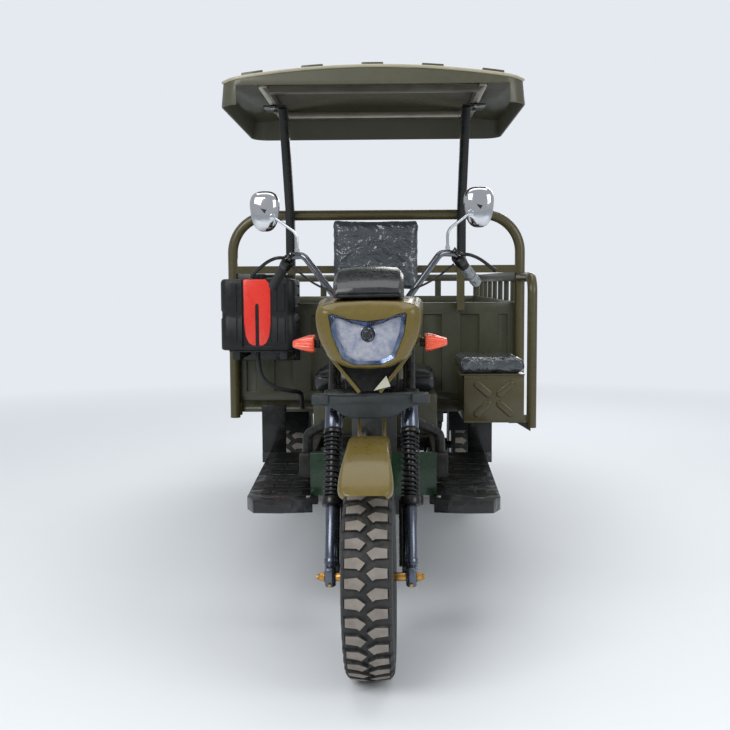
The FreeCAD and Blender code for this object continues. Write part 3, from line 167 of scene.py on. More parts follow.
def tube(points, radius, corner=0.0, sides=16, caps=True, closed=False):
    clearSelection()
    bpy.ops.curve.primitive_bezier_curve_add()
    curve = bpy.context.object
    shape = curve.data
    shape.splines.remove(shape.splines[0])
    route = roundedPath(points, corner) if corner else [Vector(p) for p in points]
    spline = shape.splines.new("POLY")
    spline.points.add(len(route) - 1)
    for point, place in zip(spline.points, route):
        point.co = (*place, 1)
    spline.use_cyclic_u = closed
    shape.bevel_depth = radius
    shape.bevel_resolution = max(1, sides // 4 - 1)
    shape.use_fill_caps = caps
    bpy.ops.object.convert(target="MESH")
    return closeMesh(bpy.context.object, 0.000002)


def lathe(profile, centre, axis=(1, 0, 0), steps=48):
    # the profile is (along the axis, radius) pairs
    axis, centre = Vector(axis).normalized(), Vector(centre)
    out = axis.orthogonal().normalized()
    points = [centre + axis * a + out * r for a, r in profile]
    obj = meshOf("turned", points, [(k, k + 1) for k in range(len(points) - 1)])
    editAll(obj)
    bpy.ops.mesh.spin(steps=steps, angle=math.tau, center=centre, axis=axis)
    bpy.ops.object.mode_set(mode="OBJECT")
    return closeMesh(obj)


def loft(rings, caps=True, closed=True):
    points = [p for ring in rings for p in ring]
    count = len(rings[0])
    last = count if closed else count - 1
    edges = [(r * count + k, r * count + (k + 1) % count) for r in range(len(rings)) for k in range(last)]
    obj = meshOf("loft", points, edges)
    bpy.ops.object.mode_set(mode="EDIT")
    bpy.ops.mesh.select_all(action="SELECT")
    bpy.ops.mesh.bridge_edge_loops()
    bpy.ops.object.mode_set(mode="OBJECT")
    if caps:
        mesh = bmesh.new()
        mesh.from_mesh(obj.data)
        mesh.verts.ensure_lookup_table()
        for first in (0, len(rings) - 1):
            mesh.faces.new([mesh.verts[first * count + k] for k in range(count)])
        mesh.to_mesh(obj.data)
        mesh.free()
    return closeMesh(obj)


def join(objs):
    objs = [o for o in objs if o]
    if len(objs) == 1:
        return objs[0]
    clearSelection()
    for o in objs:
        o.select_set(True)
    bpy.context.view_layer.objects.active = objs[0]
    bpy.ops.object.join()
    return bpy.context.object


def mirrorX(obj):
    pick(obj)
    bpy.ops.object.duplicate()
    copy = bpy.context.object
    copy.scale.x = -1
    applyPlace(copy)
    return closeMesh(copy, 0)


def copyOf(obj, move=(0, 0, 0)):
    pick(obj)
    bpy.ops.object.duplicate()
    copy = bpy.context.object
    copy.location = move
    return applyPlace(copy)


def straightBox(node):
    # a steering node's box before the parked turn
    back = parkTurn.inverted()
    points = [back @ v.co for v in frame["nodes"][node].data.vertices]
    low = Vector([min(p[k] for p in points) for k in range(3)])
    high = Vector([max(p[k] for p in points) for k in range(3)])
    return low, high


def settle(obj, name, body, material, replaced=(), turned=False):
    obj.name = name
    obj.data.name = name
    if turned:
        obj.data.transform(parkTurn)
    if material:
        obj.data.materials.clear()
        obj.data.materials.append(material)
    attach(obj, body)
    if replaced:
        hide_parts(*replaced)
    return obj


# shared effects, each a node group

def newGroup(name, inputs, outputs):
    group = bpy.data.node_groups.new(name, "ShaderNodeTree")
    kinds = {"value": "NodeSocketFloat", "color": "NodeSocketColor"}
    for label, kind, default in inputs:
        socket = group.interface.new_socket(name=label, in_out="INPUT", socket_type=kinds[kind])
        socket.default_value = default
    for label, kind in outputs:
        group.interface.new_socket(name=label, in_out="OUTPUT", socket_type=kinds[kind])
    enter, leave = group.nodes.new("NodeGroupInput"), group.nodes.new("NodeGroupOutput")
    enter.location, leave.location = (-900, 0), (700, 0)
    return group, enter, leave


def addNode(tree, kind, settings=None, **sockets):
    node = tree.nodes.new(kind)
    for key, value in (settings or {}).items():
        setattr(node, key, value)
    for label, value in sockets.items():
        feed(tree, node.inputs[label.replace("_", " ")], value)
    return node


def feed(tree, socket, value):
    if isinstance(value, bpy.types.NodeSocket):
        tree.links.new(value, socket)
    else:
        socket.default_value = value


def math2(tree, operation, a, b=0.0, clamp=False):
    node = tree.nodes.new("ShaderNodeMath")
    node.operation = operation
    node.use_clamp = clamp
    feed(tree, node.inputs[0], a)
    feed(tree, node.inputs[1], b)
    return node.outputs[0]


def mixColor(tree, factor, a, b, blend="MIX"):
    node = tree.nodes.new("ShaderNodeMix")
    node.data_type = "RGBA"
    node.blend_type = blend
    feed(tree, node.inputs[0], factor)
    feed(tree, node.inputs[6], a)
    feed(tree, node.inputs[7], b)
    return node.outputs[2]


def rangeOf(tree, value, low, high, toLow=0.0, toHigh=1.0):
    node = addNode(tree, "ShaderNodeMapRange", {"clamp": True})
    feed(tree, node.inputs[0], value)
    for k, number in enumerate((low, high, toLow, toHigh)):
        feed(tree, node.inputs[k + 1], number)
    return node.outputs[0]


def surfaceGroup():
    # broad mottling, fine grain and settled dust, for every solid finish
    group, enter, leave = newGroup("surfaceFinish", [
        ("Color", "color", (0.5, 0.5, 0.5, 1)), ("Second Color", "color", (0.4, 0.4, 0.4, 1)),
        ("Mottle Scale", "value", 6.0), ("Mottle", "value", 0.5), ("Roughness", "value", 0.4),
        ("Roughness Swing", "value", 0.1), ("Grain Scale", "value", 300.0), ("Dust", "value", 0.15),
        ("Dust Color", "color", (0.36, 0.33, 0.28, 1))],
        [("Color", "color"), ("Roughness", "value"), ("Height", "value"), ("Dust Mask", "value")])
    place = addNode(group, "ShaderNodeTexCoord")
    broad = addNode(group, "ShaderNodeTexNoise", Vector=place.outputs["Object"], Detail=5.0, Roughness=0.6)
    feed(group, broad.inputs["Scale"], enter.outputs["Mottle Scale"])
    fine = addNode(group, "ShaderNodeTexNoise", Vector=place.outputs["Object"], Detail=3.0)
    feed(group, fine.inputs["Scale"], enter.outputs["Grain Scale"])
    speck = addNode(group, "ShaderNodeTexNoise", Vector=place.outputs["Object"], Scale=45.0, Detail=8.0, Roughness=0.7)
    mottle = math2(group, "MULTIPLY", rangeOf(group, broad.outputs[0], 0.35, 0.7), enter.outputs["Mottle"])
    color = mixColor(group, mottle, enter.outputs["Color"], enter.outputs["Second Color"])
    normal = addNode(group, "ShaderNodeNewGeometry")
    split = addNode(group, "ShaderNodeSeparateXYZ", Vector=normal.outputs["Normal"])
    upward = rangeOf(group, split.outputs["Z"], 0.2, 1.0, 0.25, 1.0)
    patches = rangeOf(group, speck.outputs[0], 0.42, 0.72)
    dust = math2(group, "MULTIPLY", math2(group, "MULTIPLY", upward, patches), enter.outputs["Dust"], clamp=True)
    color = mixColor(group, dust, color, enter.outputs["Dust Color"])
    swing = math2(group, "MULTIPLY", rangeOf(group, speck.outputs[0], 0.3, 0.7, -1, 1), enter.outputs["Roughness Swing"])
    rough = math2(group, "ADD", enter.outputs["Roughness"], swing)
    rough = math2(group, "ADD", rough, math2(group, "MULTIPLY", dust, 0.4), clamp=True)
    height = math2(group, "ADD", fine.outputs[0], math2(group, "MULTIPLY", speck.outputs[0], 0.35))
    for label, value in (("Color", color), ("Roughness", rough), ("Height", height), ("Dust Mask", dust)):
        feed(group, leave.inputs[label], value)
    return group


def crinkleGroup():
    # creases of thin clear film pulled over a form: sharp ridges that bend and cross, and a ridge mask that paints
    # pale highlights along them
    group, enter, leave = newGroup("filmCrease", [("Scale", "value", 14.0), ("Bend", "value", 0.6)],
                                   [("Height", "value"), ("Ridge Highlight", "value")])
    place = addNode(group, "ShaderNodeTexCoord")
    bend = addNode(group, "ShaderNodeTexNoise", Vector=place.outputs["Object"], Scale=9.0, Detail=4.0)
    shift = addNode(group, "ShaderNodeVectorMath", {"operation": "SCALE"})
    feed(group, shift.inputs[0], bend.outputs["Color"])
    feed(group, shift.inputs["Scale"], math2(group, "MULTIPLY", enter.outputs["Bend"], 0.25))
    moved = addNode(group, "ShaderNodeVectorMath", {"operation": "ADD"})
    feed(group, moved.inputs[0], place.outputs["Object"])
    feed(group, moved.inputs[1], shift.outputs[0])
    slant = addNode(group, "ShaderNodeMapping", Vector=moved.outputs[0])
    slant.inputs["Rotation"].default_value = (0.3, 0.75, 0.2)
    slant.inputs["Scale"].default_value = (0.22, 1.0, 1.1)
    moved = slant
    cells = addNode(group, "ShaderNodeTexVoronoi", {"feature": "DISTANCE_TO_EDGE"}, Vector=moved.outputs[0])
    feed(group, cells.inputs["Scale"], enter.outputs["Scale"])
    small = addNode(group, "ShaderNodeTexVoronoi", {"feature": "DISTANCE_TO_EDGE"}, Vector=moved.outputs[0])
    feed(group, small.inputs["Scale"], math2(group, "MULTIPLY", enter.outputs["Scale"], 2.7))
    ridge = rangeOf(group, cells.outputs["Distance"], 0.0, 0.16, 1.0, 0.0)
    thin = rangeOf(group, small.outputs["Distance"], 0.0, 0.10, 1.0, 0.0)
    height = math2(group, "ADD", math2(group, "POWER", ridge, 2.0), math2(group, "MULTIPLY", thin, 0.18))
    height = math2(group, "ADD", height, bend.outputs[0])
    feed(group, leave.inputs["Height"], height)
    feed(group, leave.inputs["Ridge Highlight"], math2(group, "MAXIMUM", math2(group, "POWER", ridge, 3.0), math2(group, "MULTIPLY", thin, 0.3)))
    return group


def leatherGroup():
    # small pebbled grain of vinyl
    group, enter, leave = newGroup("vinylGrain", [("Scale", "value", 380.0)], [("Height", "value")])
    place = addNode(group, "ShaderNodeTexCoord")
    cells = addNode(group, "ShaderNodeTexVoronoi", {"feature": "SMOOTH_F1"}, Vector=place.outputs["Object"])
    feed(group, cells.inputs["Scale"], enter.outputs["Scale"])
    fold = addNode(group, "ShaderNodeTexNoise", Vector=place.outputs["Object"], Scale=30.0, Detail=3.0)
    feed(group, leave.inputs["Height"], math2(group, "ADD", cells.outputs[0],
                                              math2(group, "MULTIPLY", fold.outputs[0], 0.5)))
    return group


groups = {"surface": surfaceGroup(), "crease": crinkleGroup(), "vinyl": leatherGroup()}


def screenColor(red, green, blue):
    def linear(v):
        v = v / 255
        return v / 12.92 if v <= 0.04045 else ((v + 0.055) / 1.055) ** 2.4
    return (linear(red), linear(green), linear(blue), 1.0)


def groupNode(tree, key, **values):
    node = tree.nodes.new("ShaderNodeGroup")
    node.node_tree = groups[key]
    for label, value in values.items():
        feed(tree, node.inputs[label.replace("_", " ")], value)
    return node


def finish(name, color, second=None, rough=0.4, swing=0.08, metal=0.0, coat=0.0, coatRough=0.08, mottle=0.5,
           mottleScale=5.0, grain=300.0, bump=0.1, dust=0.12, film=0.0, filmScale=14.0, vinyl=0.0, specular=0.5):
    # one solid finish; film lays creased clear plastic over it
    material = bpy.data.materials.new(name)
    material.use_nodes = True
    tree = material.node_tree
    shader = tree.nodes["Principled BSDF"]
    surface = groupNode(tree, "surface", Color=color, Second_Color=second or tuple(c * 0.72 for c in color[:3]) + (1,),
                        Mottle_Scale=mottleScale, Mottle=mottle, Roughness=rough, Roughness_Swing=swing,
                        Grain_Scale=grain, Dust=dust)
    baseColor, roughness, height = surface.outputs["Color"], surface.outputs["Roughness"], surface.outputs["Height"]
    shader.inputs["Metallic"].default_value = metal
    shader.inputs["Specular IOR Level"].default_value = specular
    shader.inputs["Coat Weight"].default_value = coat
    shader.inputs["Coat Roughness"].default_value = coatRough
    bumpNode = addNode(tree, "ShaderNodeBump", Strength=bump, Distance=0.0006, Height=height)
    normal = bumpNode.outputs[0]
    if vinyl:
        grainNode = groupNode(tree, "vinyl", Scale=vinyl)
        vinylBump = addNode(tree, "ShaderNodeBump", Strength=0.5, Distance=0.0005, Height=grainNode.outputs[0],
                            Normal=normal)
        normal = vinylBump.outputs[0]
    if film:
        crease = groupNode(tree, "crease", Scale=filmScale)
        creaseBump = addNode(tree, "ShaderNodeBump", Strength=film, Distance=0.006, Height=crease.outputs["Height"],
                             Normal=normal)
        normal = creaseBump.outputs[0]
        # the crease ridges are lightened towards pale grey: a painted highlight along the film's creases
        baseColor = mixColor(tree, math2(tree, "MULTIPLY", crease.outputs["Ridge Highlight"], 0.16 * film), baseColor,
                             screenColor(150, 158, 165))
        feed(tree, shader.inputs["Coat Normal"], normal)
    feed(tree, shader.inputs["Base Color"], baseColor)
    feed(tree, shader.inputs["Roughness"], roughness)
    feed(tree, shader.inputs["Normal"], normal)
    return material


finishes = {
    "framePaint": finish("framePaint", screenColor(17, 19, 17), rough=0.42, coat=0.1, specular=0.25, dust=0.3, bump=0.15),
    "guardPaint": finish("guardPaint", screenColor(16, 46, 24), rough=0.3, coat=0.3, specular=0.3, dust=0.1),
    "castMetal": finish("castMetal", screenColor(62, 63, 64), rough=0.5, metal=0.7, grain=500, bump=0.4, dust=0.3),
    "dullSteel": finish("dullSteel", screenColor(112, 112, 114), rough=0.42, metal=0.9, mottle=0.9, dust=0.25),
    "springSteel": finish("springSteel", screenColor(48, 49, 52), rough=0.35, metal=0.75, dust=0.15),
    "olivePaint": finish("olivePaint", screenColor(76, 70, 42), rough=0.32, coat=0.3, specular=0.35, mottle=0.35, dust=0.12),
    "bedPaint": finish("bedPaint", screenColor(66, 67, 48), screenColor(50, 51, 35), rough=0.38, coat=0.2, specular=0.35,
                       mottle=0.6, mottleScale=3.0, dust=0.15),
    "olivePlastic": finish("olivePlastic", screenColor(106, 91, 38), screenColor(86, 74, 28), rough=0.3, coat=0.3, specular=0.35,
                           mottle=0.4, dust=0.05, bump=0.06),
    "roofPlastic": finish("roofPlastic", screenColor(76, 74, 56), screenColor(58, 57, 42), rough=0.4, coat=0.2,
                          mottle=0.5, mottleScale=3.0, bump=0.12),
    "blackPlastic": finish("blackPlastic", screenColor(21, 23, 26), rough=0.4, specular=0.3, grain=700, bump=0.25, dust=0.1),
    "cowlPlastic": finish("cowlPlastic", screenColor(38, 40, 43), rough=0.3, coat=0.25, specular=0.4, grain=600, bump=0.12),
    "greyPlastic": finish("greyPlastic", screenColor(52, 58, 60), screenColor(42, 46, 47), rough=0.5, specular=0.35, grain=600,
                          bump=0.3, dust=0.2),
    "redPlastic": finish("redPlastic", screenColor(236, 44, 22), screenColor(220, 34, 16), rough=0.3, coat=0.4,
                         mottle=0.3, dust=0.02, bump=0.05),
    "blackVinyl": finish("blackVinyl", screenColor(34, 36, 40), rough=0.38, coat=0.2, vinyl=320.0, dust=0.06),
    "wrappedVinyl": finish("wrappedVinyl", screenColor(60, 67, 73), screenColor(38, 43, 47), rough=0.3, coat=1.0,
                           coatRough=0.05, film=0.38, filmScale=12.0, dust=0.0, mottle=0.7, mottleScale=7.0),
    "wrappedTray": finish("wrappedTray", screenColor(13, 15, 17), rough=0.4, coat=0.45, coatRough=0.12, film=0.5,
                          specular=0.3,
                          filmScale=7.0, dust=0.05),
    "chromePlate": finish("chromePlate", screenColor(212, 214, 218), screenColor(176, 178, 184), rough=0.08,
                          swing=0.04, metal=1.0, mottle=0.2, dust=0.03, bump=0.02),
    "barChrome": finish("barChrome", screenColor(112, 115, 120), screenColor(78, 80, 86), rough=0.1,
                        swing=0.04, metal=1.0, mottle=0.3, dust=0.03, bump=0.02),
    "tubeSilver": finish("tubeSilver", screenColor(96, 102, 116), screenColor(70, 76, 90), rough=0.24,
                         metal=0.9, coat=0.2, mottle=0.3, dust=0.1, bump=0.05),
    "blackGloss": finish("blackGloss", screenColor(12, 13, 14), rough=0.28, coat=0.2, specular=0.3, dust=0.12, bump=0.06),
    "bareMetal": finish("bareMetal", screenColor(178, 172, 160), screenColor(150, 140, 124), rough=0.35, metal=0.95,
                        mottle=0.7, dust=0.1),
    "brassNut": finish("brassNut", screenColor(196, 150, 84), rough=0.3, metal=1.0, dust=0.1),
    "tyreRubber": finish("tyreRubber", screenColor(28, 29, 30), rough=0.62, grain=500, bump=0.35, dust=0.3),
    "treadTop": finish("treadTop", screenColor(140, 132, 124), screenColor(112, 105, 98), rough=0.8, mottle=0.9,
                       mottleScale=22.0, grain=420, bump=0.5, dust=0.3),
    "gripRubber": finish("gripRubber", screenColor(34, 34, 35), rough=0.6, grain=500, bump=0.3),
    "rimPaint": finish("rimPaint", screenColor(58, 60, 60), rough=0.36, coat=0.3, dust=0.3),
    "redLens": finish("redLens", screenColor(160, 20, 18), rough=0.15, coat=0.8, dust=0.05),
    "orangeLens": finish("orangeLens", screenColor(240, 70, 34), screenColor(255, 110, 60), rough=0.16, coat=0.8,
                         mottle=0.6, mottleScale=40.0, dust=0.0),
}


def clearFilm(name, tint, alpha, rough=0.05, film=0.0, metal=0.0):
    # a thin clear layer: mostly see-through, with its gloss kept
    material = finish(name, tint, rough=rough, metal=metal, coat=1.0, coatRough=0.03, film=film, filmScale=22.0,
                      mottle=0.1, dust=0.0, bump=0.02)
    material.node_tree.nodes["Principled BSDF"].inputs["Alpha"].default_value = alpha
    return material


finishes["lampGlass"] = clearFilm("lampGlass", screenColor(26, 32, 40), 0.12, film=0.0)
finishes["clearFilm"] = clearFilm("clearFilm", screenColor(215, 220, 228), 0.45, film=0.8)
finishes["lampRim"] = finish("lampRim", screenColor(40, 76, 132), screenColor(150, 168, 196), rough=0.14, metal=0.6,
                             coat=0.8, mottle=1.0, mottleScale=30.0, dust=0.0)
# the reflector is only half metal, with a bright, pale lilac mottled colour of its own: painted reflection standing in
# for a mirror bowl
finishes["reflector"] = finish("reflector", screenColor(240, 241, 250), screenColor(168, 180, 216), rough=0.18,
                               metal=0.45, mottle=0.9, mottleScale=60.0, dust=0.0, bump=0.05)
# dark colour of the brow sheet: painted shade over the bowl's top, streaked blue
finishes["browShadeGlass"] = finish("browShadeGlass", screenColor(24, 30, 42), screenColor(40, 84, 150), rough=0.12, metal=0.5,
                               coat=1.0, mottle=0.9, mottleScale=26.0, dust=0.0)
finishes["darkPlastic"] = finish("darkPlastic", screenColor(46, 48, 52), rough=0.3, coat=0.4, dust=0.0)
# near-black colour of the web under the mask: painted shade
finishes["throatShade"] = finish("throatShade", screenColor(14, 15, 16), rough=0.6, specular=0.2, grain=500, bump=0.3, dust=0.2)
finishes["boltZinc"] = finish("boltZinc", screenColor(196, 190, 178), rough=0.3, metal=0.95, dust=0.1)
finishes["roofEdge"] = finish("roofEdge", screenColor(170, 164, 140), screenColor(140, 134, 110), rough=0.35, coat=0.3,
                              dust=0.05)
finishes["paleFilm"] = finish("paleFilm", screenColor(196, 194, 176), rough=0.4, coat=0.4, dust=0.0)
finishes["mirrorGlass"] = finish("mirrorGlass", screenColor(235, 238, 242), rough=0.02, swing=0.01, metal=1.0,
                                 mottle=0.05, dust=0.0, bump=0.0)
print("finishes ready:", len(finishes))


# pressed and welded pieces: the frame's own shape with its edges broken

def softened(node, name, material, bevel=0.002, segments=2, turned=False, angle=32):
    # turned pieces keep the parked place that the frame gives them
    source = frame["nodes"][node]
    mesh = source.data.copy()
    obj = bpy.data.objects.new(name, mesh)
    bpy.context.scene.collection.objects.link(obj)
    editAll(obj)
    bpy.ops.mesh.remove_doubles(threshold=0.00004)
    bpy.ops.mesh.dissolve_limited(angle_limit=math.radians(1.5))
    bpy.ops.object.mode_set(mode="OBJECT")
    if bevel:
        modify(obj, "BEVEL", width=bevel, segments=segments, limit_method="ANGLE",
               angle_limit=math.radians(angle), use_clamp_overlap=True)
    smooth(obj)
    return settle(obj, name, source["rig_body"], finishes[material], [node])


carried = {
    "frame_rails": ("frame_paint", "framePaint", 0.003), "head_frame": ("frame_paint", "framePaint", 0.0),
    "front_guard": ("guard_paint", "guardPaint", 0.0015), "engine": ("engine_metal", "castMetal", 0.004),
    "exhaust": ("exhaust_metal", "dullSteel", 0.0), "rear_axle": ("spring_steel", "springSteel", 0.0),
    "leaf_springs": ("spring_steel", "springSteel", 0.001), "fuel_tank": ("olive_paint", "olivePaint", 0.012),
    "seat_base": ("bed_paint", "bedPaint", 0.006),
    "cross_members": ("frame_paint", "framePaint", 0.002),
    "bed_floor": ("bed_paint", "bedPaint", 0.001), "bed_frame": ("bed_paint", "bedPaint", 0.002), "front_panel": ("bed_paint", "bedPaint", 0.0025),
    "front_hoop": ("olive_paint", "olivePaint", 0.0), "guard_rail": ("olive_paint", "olivePaint", 0.0),
    "side_seat_box": ("olive_paint", "olivePaint", 0.0015), "side_seat_lid": ("olive_paint", "olivePaint", 0.001),
    
    "tank_shelf": ("black_metal", "blackGloss", 0.0015),
    "canopy_struts": ("black_metal", "blackGloss", 0.003), "canopy_rails": ("bare_metal", "bareMetal", 0.002),
    "tail_lights": ("lamp_red", "redLens", 0.002), "tailgate": ("bed_paint", "bedPaint", 0.0025),
    "side_panel_left": ("bed_paint", "bedPaint", 0.0025), "side_panel_right": ("bed_paint", "bedPaint", 0.0025),
    "rear_mudguards": ("black_plastic", "blackPlastic", 0.0), "rear_rim_left": ("rim_paint", "rimPaint", 0.0),
    "rear_rim_right": ("rim_paint", "rimPaint", 0.0), "steering_stem": ("black_metal", "blackGloss", 0.003),

            "handlebar": ("chrome", "barChrome", 0.0),     "front_rim": ("rim_paint", "rimPaint", 0.0),
}
for node, (slot, material, bevel) in carried.items():
    if node in frame["nodes"]:
        softened(node, node + "_skin", finishes[material].name, bevel)
print("frame pieces dressed")


# wheels

def centreOf(node):
    low, high = (Vector(c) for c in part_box(node))
    return (low + high) / 2


tyreShape = {"radius": 0.285, "halfWidth": 0.070, "bead": 0.157, "seat": 0.046, "blocks": 34, "deep": 0.010,
             "chamfer": 0.0012}


def treadRadius(x):
    # the crown stays nearly flat out to the shoulder, then falls away
    share = min(abs(x) / tyreShape["halfWidth"], 1.0)
    return tyreShape["radius"] - 0.0006 - 0.007 * share ** 2 - 0.018 * max(0.0, share - 0.76) ** 1.5 / 0.12


def treadBlock(outline):
    # a flat block in (across, along), pressed up from the carcass with its top edge broken
    obj = meshOf("block", [(x, y, 0) for x, y in outline], faces=[range(len(outline))])
    bpy.ops.object.mode_set(mode="EDIT")
    bpy.ops.mesh.select_all(action="SELECT")
    bpy.ops.mesh.normals_make_consistent(inside=False)
    bpy.ops.mesh.extrude_region_move(TRANSFORM_OT_translate={"value": (0, 0, tyreShape["deep"])})
    bpy.ops.mesh.inset(thickness=tyreShape["chamfer"], depth=0.0)
    bpy.ops.transform.translate(value=(0, 0, tyreShape["chamfer"]))
    bpy.ops.mesh.poke()
    bpy.ops.object.mode_set(mode="OBJECT")
    return obj


def makeTyre(name, body, node, axis, centre):
    radius, count = tyreShape["radius"], tyreShape["blocks"]
    pitch = math.tau * radius / count
    left = [(-0.057, 0.000), (-0.025, -0.002), (-0.017, -0.007), (0.000, 0.014), (-0.023, 0.030), (-0.057, 0.027)]
    shoulder = [(-0.0675, 0.004), (-0.0585, 0.001), (-0.0585, 0.026), (-0.0675, 0.023)]
    pieces = []
    for side in (-1, 1):
        for outline, shift in ((left, 0.0), (shoulder, 0.0)):
            shape = [(-side * x, y + (pitch / 2 if side > 0 else 0.0) + shift) for x, y in outline]
            block = treadBlock(shape)
            block.data.materials.append(finishes["tyreRubber"])
            block.data.materials.append(finishes["treadTop"])
            for face in block.data.polygons:
                top = min(block.data.vertices[k].co.z for k in face.vertices) > tyreShape["deep"]
                face.material_index = 1 if top and outline is left else 0
            modify(block, "ARRAY", count=count, use_relative_offset=False, use_constant_offset=True,
                   constant_offset_displace=(0, pitch, 0))
            pieces.append(block)
    tread = join(pieces)
    for v in tread.data.vertices:
        turn = v.co.y / radius
        reach = treadRadius(v.co.x) + v.co.z - tyreShape["deep"] - tyreShape["chamfer"]
        v.co = (v.co.x, -reach * math.cos(turn), reach * math.sin(turn))
    w, bead, seat, deep = tyreShape["halfWidth"], tyreShape["bead"], tyreShape["seat"], tyreShape["deep"]
    half = [(0.0, radius - deep), (0.4 * w, radius - deep - 0.001), (0.72 * w, radius - deep - 0.004),
            (0.9 * w, radius - deep - 0.011), (0.965 * w, radius - 0.036), (0.995 * w, 0.238), (0.99 * w, 0.222),
            (0.955 * w, 0.203), (0.905 * w, 0.189), (0.92 * w, 0.186), (0.86 * w, 0.178), (seat + 0.003, 0.170),
            (seat, bead + 0.001)]
    profile = half + [(-a, r) for a, r in reversed(half[1:])]
    profile.append(profile[0])
    carcass = lathe(profile, (0, 0, 0), (1, 0, 0), 96)
    carcass.data.materials.append(finishes["tyreRubber"])
    smooth(carcass, 50)
    obj = join([carcass, tread])
    editAll(obj)
    bpy.ops.mesh.normals_make_consistent(inside=False)
    bpy.ops.object.mode_set(mode="OBJECT")
    turn = Vector((1, 0, 0)).rotation_difference(Vector(axis)).to_matrix().to_4x4()
    obj.data.transform(Matrix.Translation(centre) @ turn)
    return settle(obj, name, body, None, [node])


frontAxle = joints["front_wheel_spin"]
makeTyre("front_tyre_tread", "front_wheel", "front_tyre", frontAxle["axis"], Vector(frontAxle["pos_m"]))
for side in ("left", "right"):
    joint = joints["rear_" + side + "_wheel_spin"]
    makeTyre("rear_tyre_tread_" + side, "rear_" + side + "_wheel", "rear_tyre_" + side, joint["axis"],
             Vector(joint["pos_m"]))
print("tyres treaded")


# front fork: springs, fender, cover. Straight places first, the parked turn last

axleStraight = parkTurn.inverted() @ Vector(frontAxle["pos_m"])
legLag, legSpacing, forkOffset = 0.020, 0.232, 0.045
legBase = Vector((0, axleStraight.y + legLag, axleStraight.z))


def legPoint(x, along, ahead=0.0):
    return legBase + Vector((x, 0, 0)) + steerAxis * along + steerAhead * ahead


springShape = {"from": 0.228, "to": 0.425, "radius": 0.0255, "wire": 0.0033, "turns": 13, "steps": 20}


def makeSprings():
    coils = []
    for side in (-1, 1):
        count = springShape["turns"] * springShape["steps"]
        foot = legPoint(side * legSpacing / 2, springShape["from"])
        points = []
        for k in range(count + 1):
            share = k / count
            # the end turns lie close together
            eased = share + 0.035 * math.sin(math.tau * share) * -1
            angle = math.tau * springShape["turns"] * share
            climb = springShape["wire"] + eased * (springShape["to"] - springShape["from"] - 2 * springShape["wire"])
            points.append(foot + steerAxis * climb + Vector((1, 0, 0)) * springShape["radius"] * math.cos(angle)
                          + steerAhead * springShape["radius"] * math.sin(angle))
        coil = tube(points, springShape["wire"], sides=12)
        smooth(coil, 60)
        coils.append(coil)
    settle(join(coils), "spring_coils", "steering", finishes["springSteel"], ["fork_springs"], True)


fenderShape = {"radius": 0.390, "half": 0.074, "front": 134, "back": 50, "wall": 0.003, "flange": 0.030, "steps": 40}


def makeFender():
    centre = axleStraight + Vector((0, 0.020, 0.010))
    low, high = math.radians(fenderShape["back"]), math.radians(fenderShape["front"])
    rings = []
    for k in range(fenderShape["steps"] + 1):
        angle = low + (high - low) * k / fenderShape["steps"]
        fromFront = (high - angle) * fenderShape["radius"]
        # the front edge is rounded at its corners, and the sides swell a little towards it
        pull = 0.016 * max(0.0, 1 - fromFront / 0.030) ** 2
        wide = fenderShape["half"] * (0.80 + 0.20 * math.exp(-((fromFront - 0.035) / 0.13) ** 2)) - pull
        drop = fenderShape["flange"] - 0.5 * pull
        outer = fenderShape["radius"] - 0.0016
        section = [(-wide, outer - drop), (-wide, outer - 0.014), (-wide * 0.94, outer - 0.0045),
                   (-wide * 0.86, outer - 0.0012), (-wide * 0.5, outer - 0.0004), (0, outer),
                   (wide * 0.5, outer - 0.0004), (wide * 0.86, outer - 0.0012), (wide * 0.94, outer - 0.0045),
                   (wide, outer - 0.014), (wide, outer - drop)]
        rings.append([centre + Vector((x, r * math.cos(angle), r * math.sin(angle))) for x, r in section])
    shell = loft(rings, caps=False, closed=False)
    closeMesh(shell)
    modify(shell, "SOLIDIFY", thickness=fenderShape["wall"], offset=-1.0)
    modify(shell, "SUBSURF", levels=1, render_levels=1)
    smooth(shell, 60)
    front = centre + Vector((0, 0.3905 * math.cos(math.radians(118)), 0.3905 * math.sin(math.radians(118))))
    out = (front - centre).normalized()
    pieces = [shell]
    for x in (-0.038, 0.038):
        foot = centre + Vector((x, 0.386 * math.cos(math.radians(60)), 0.386 * math.sin(math.radians(60))))
        head = foot + steerAxis * (legPoint(0, 0.531, -0.005) - foot).dot(steerAxis)
        stay = barrel(foot, head, 0.0058, 20)
        flange = barrel(foot - out * 0.004, foot + out * 0.003, 0.013, 24, 0.001)
        pieces += [smooth(stay), smooth(flange)]
    obj = join(pieces)
    settle(obj, "fender_shell", "steering", finishes["olivePlastic"], ["front_fender"], True)


coverShape = {"low": 0.718, "top": 0.797, "half": 0.174, "near": 0.150, "deep": 0.050}


